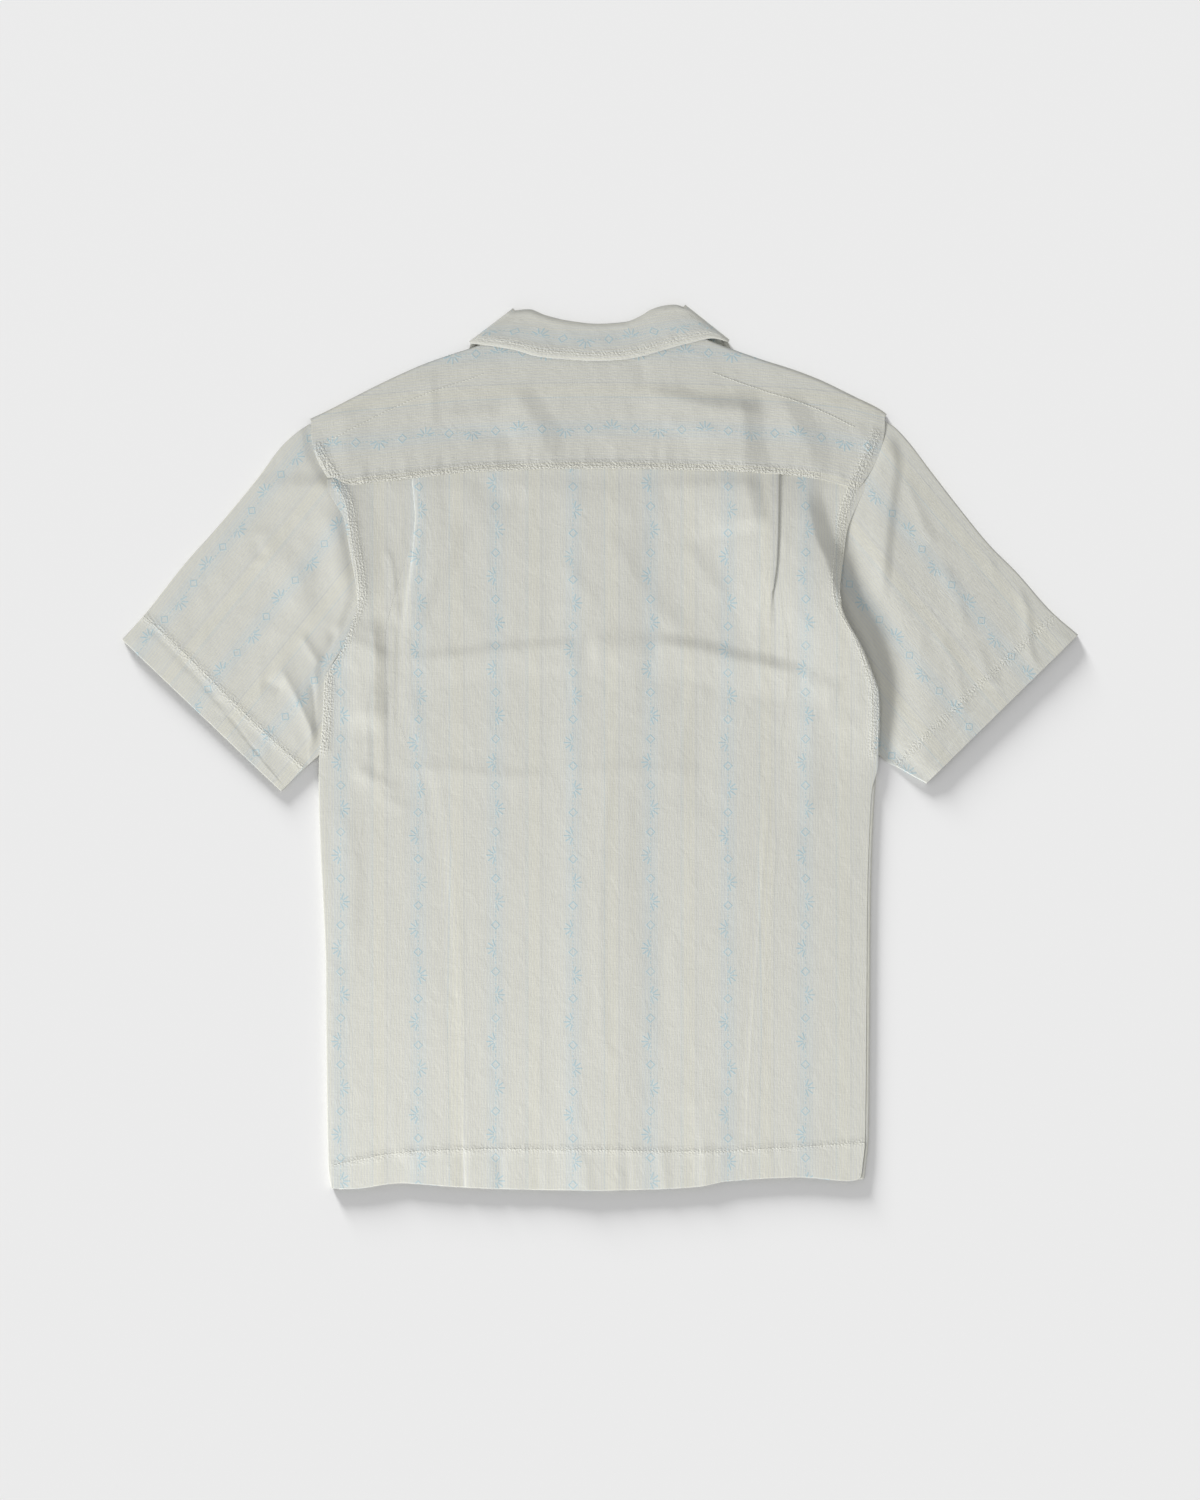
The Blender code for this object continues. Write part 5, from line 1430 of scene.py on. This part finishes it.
# Stage, light and camera
PAPER_WHITE = 0.82
SKY_STRENGTH = 0.55
CAMERA_HEIGHT = 3.088
CAMERA_Y = -0.0026
bpy.ops.object.select_all(action="DESELECT")
bpy.ops.mesh.primitive_plane_add(size=8.0, location=(0, 0, 0))
floor = bpy.context.object
floor.name = "floor"
paper, _, paper_shader = new_material("studio paper")
paper_shader.inputs["Base Color"].default_value = (PAPER_WHITE, PAPER_WHITE, PAPER_WHITE, 1.0)
paper_shader.inputs["Roughness"].default_value = 0.95
floor.data.materials.append(paper)

world = bpy.data.worlds.new("studio")
world.use_nodes = True
world.node_tree.nodes["Background"].inputs["Color"].default_value = (1.0, 1.0, 1.0, 1.0)
world.node_tree.nodes["Background"].inputs["Strength"].default_value = SKY_STRENGTH
bpy.context.scene.world = world

shirt_pieces = bpy.data.collections.new("lit by the side softbox")
paper_pieces = bpy.data.collections.new("lit by the top softbox")
for piece in bpy.context.scene.objects:
    if piece.type == "MESH":
        (paper_pieces if piece == floor else shirt_pieces).objects.link(piece)


def softbox(name, kind, travel, strength, lit):
    """A softbox whose light travels along a direction, and falls on one set of things."""
    data = bpy.data.lights.new(name, kind)
    data.energy = strength
    lamp = bpy.data.objects.new(name, data)
    lamp.rotation_euler = Vector(travel).to_track_quat("-Z", "Y").to_euler()
    bpy.context.scene.collection.objects.link(lamp)
    lamp.light_linking.receiver_collection = lit
    return lamp


# Distant softboxes. Columns: name, direction of travel, strength, width in degrees, what they light
for name, travel, strength, width, lit in (
    ("low softbox", (0.44, -0.872, -0.215), 5.6, 15, paper_pieces),
    ("overhead softbox", (0.0, 0.0, -1.0), 0.24, 60, paper_pieces),
    ("side softbox", (0.82, 0.46, -0.34), 2.45, 17, shirt_pieces),
):
    softbox(name, "SUN", travel, strength, lit).data.angle = math.radians(width)

# A softbox close to the lower left corner, so that the light falls off towards the collar
near_softbox = softbox("near softbox", "AREA", (0.9, 1.5, -0.62), 17.0, shirt_pieces)
near_softbox.data.size = 0.5
near_softbox.location = (-0.9, -1.5, 0.62)

camera_data = bpy.data.cameras.new("camera")
camera_data.lens = 85
camera_data.sensor_fit = "VERTICAL"
camera_data.sensor_height = 36
camera = bpy.data.objects.new("camera", camera_data)
camera.location = (0.0, CAMERA_Y, CAMERA_HEIGHT)
bpy.context.scene.collection.objects.link(camera)
bpy.context.scene.camera = camera
bpy.context.scene.view_settings.view_transform = "Standard"
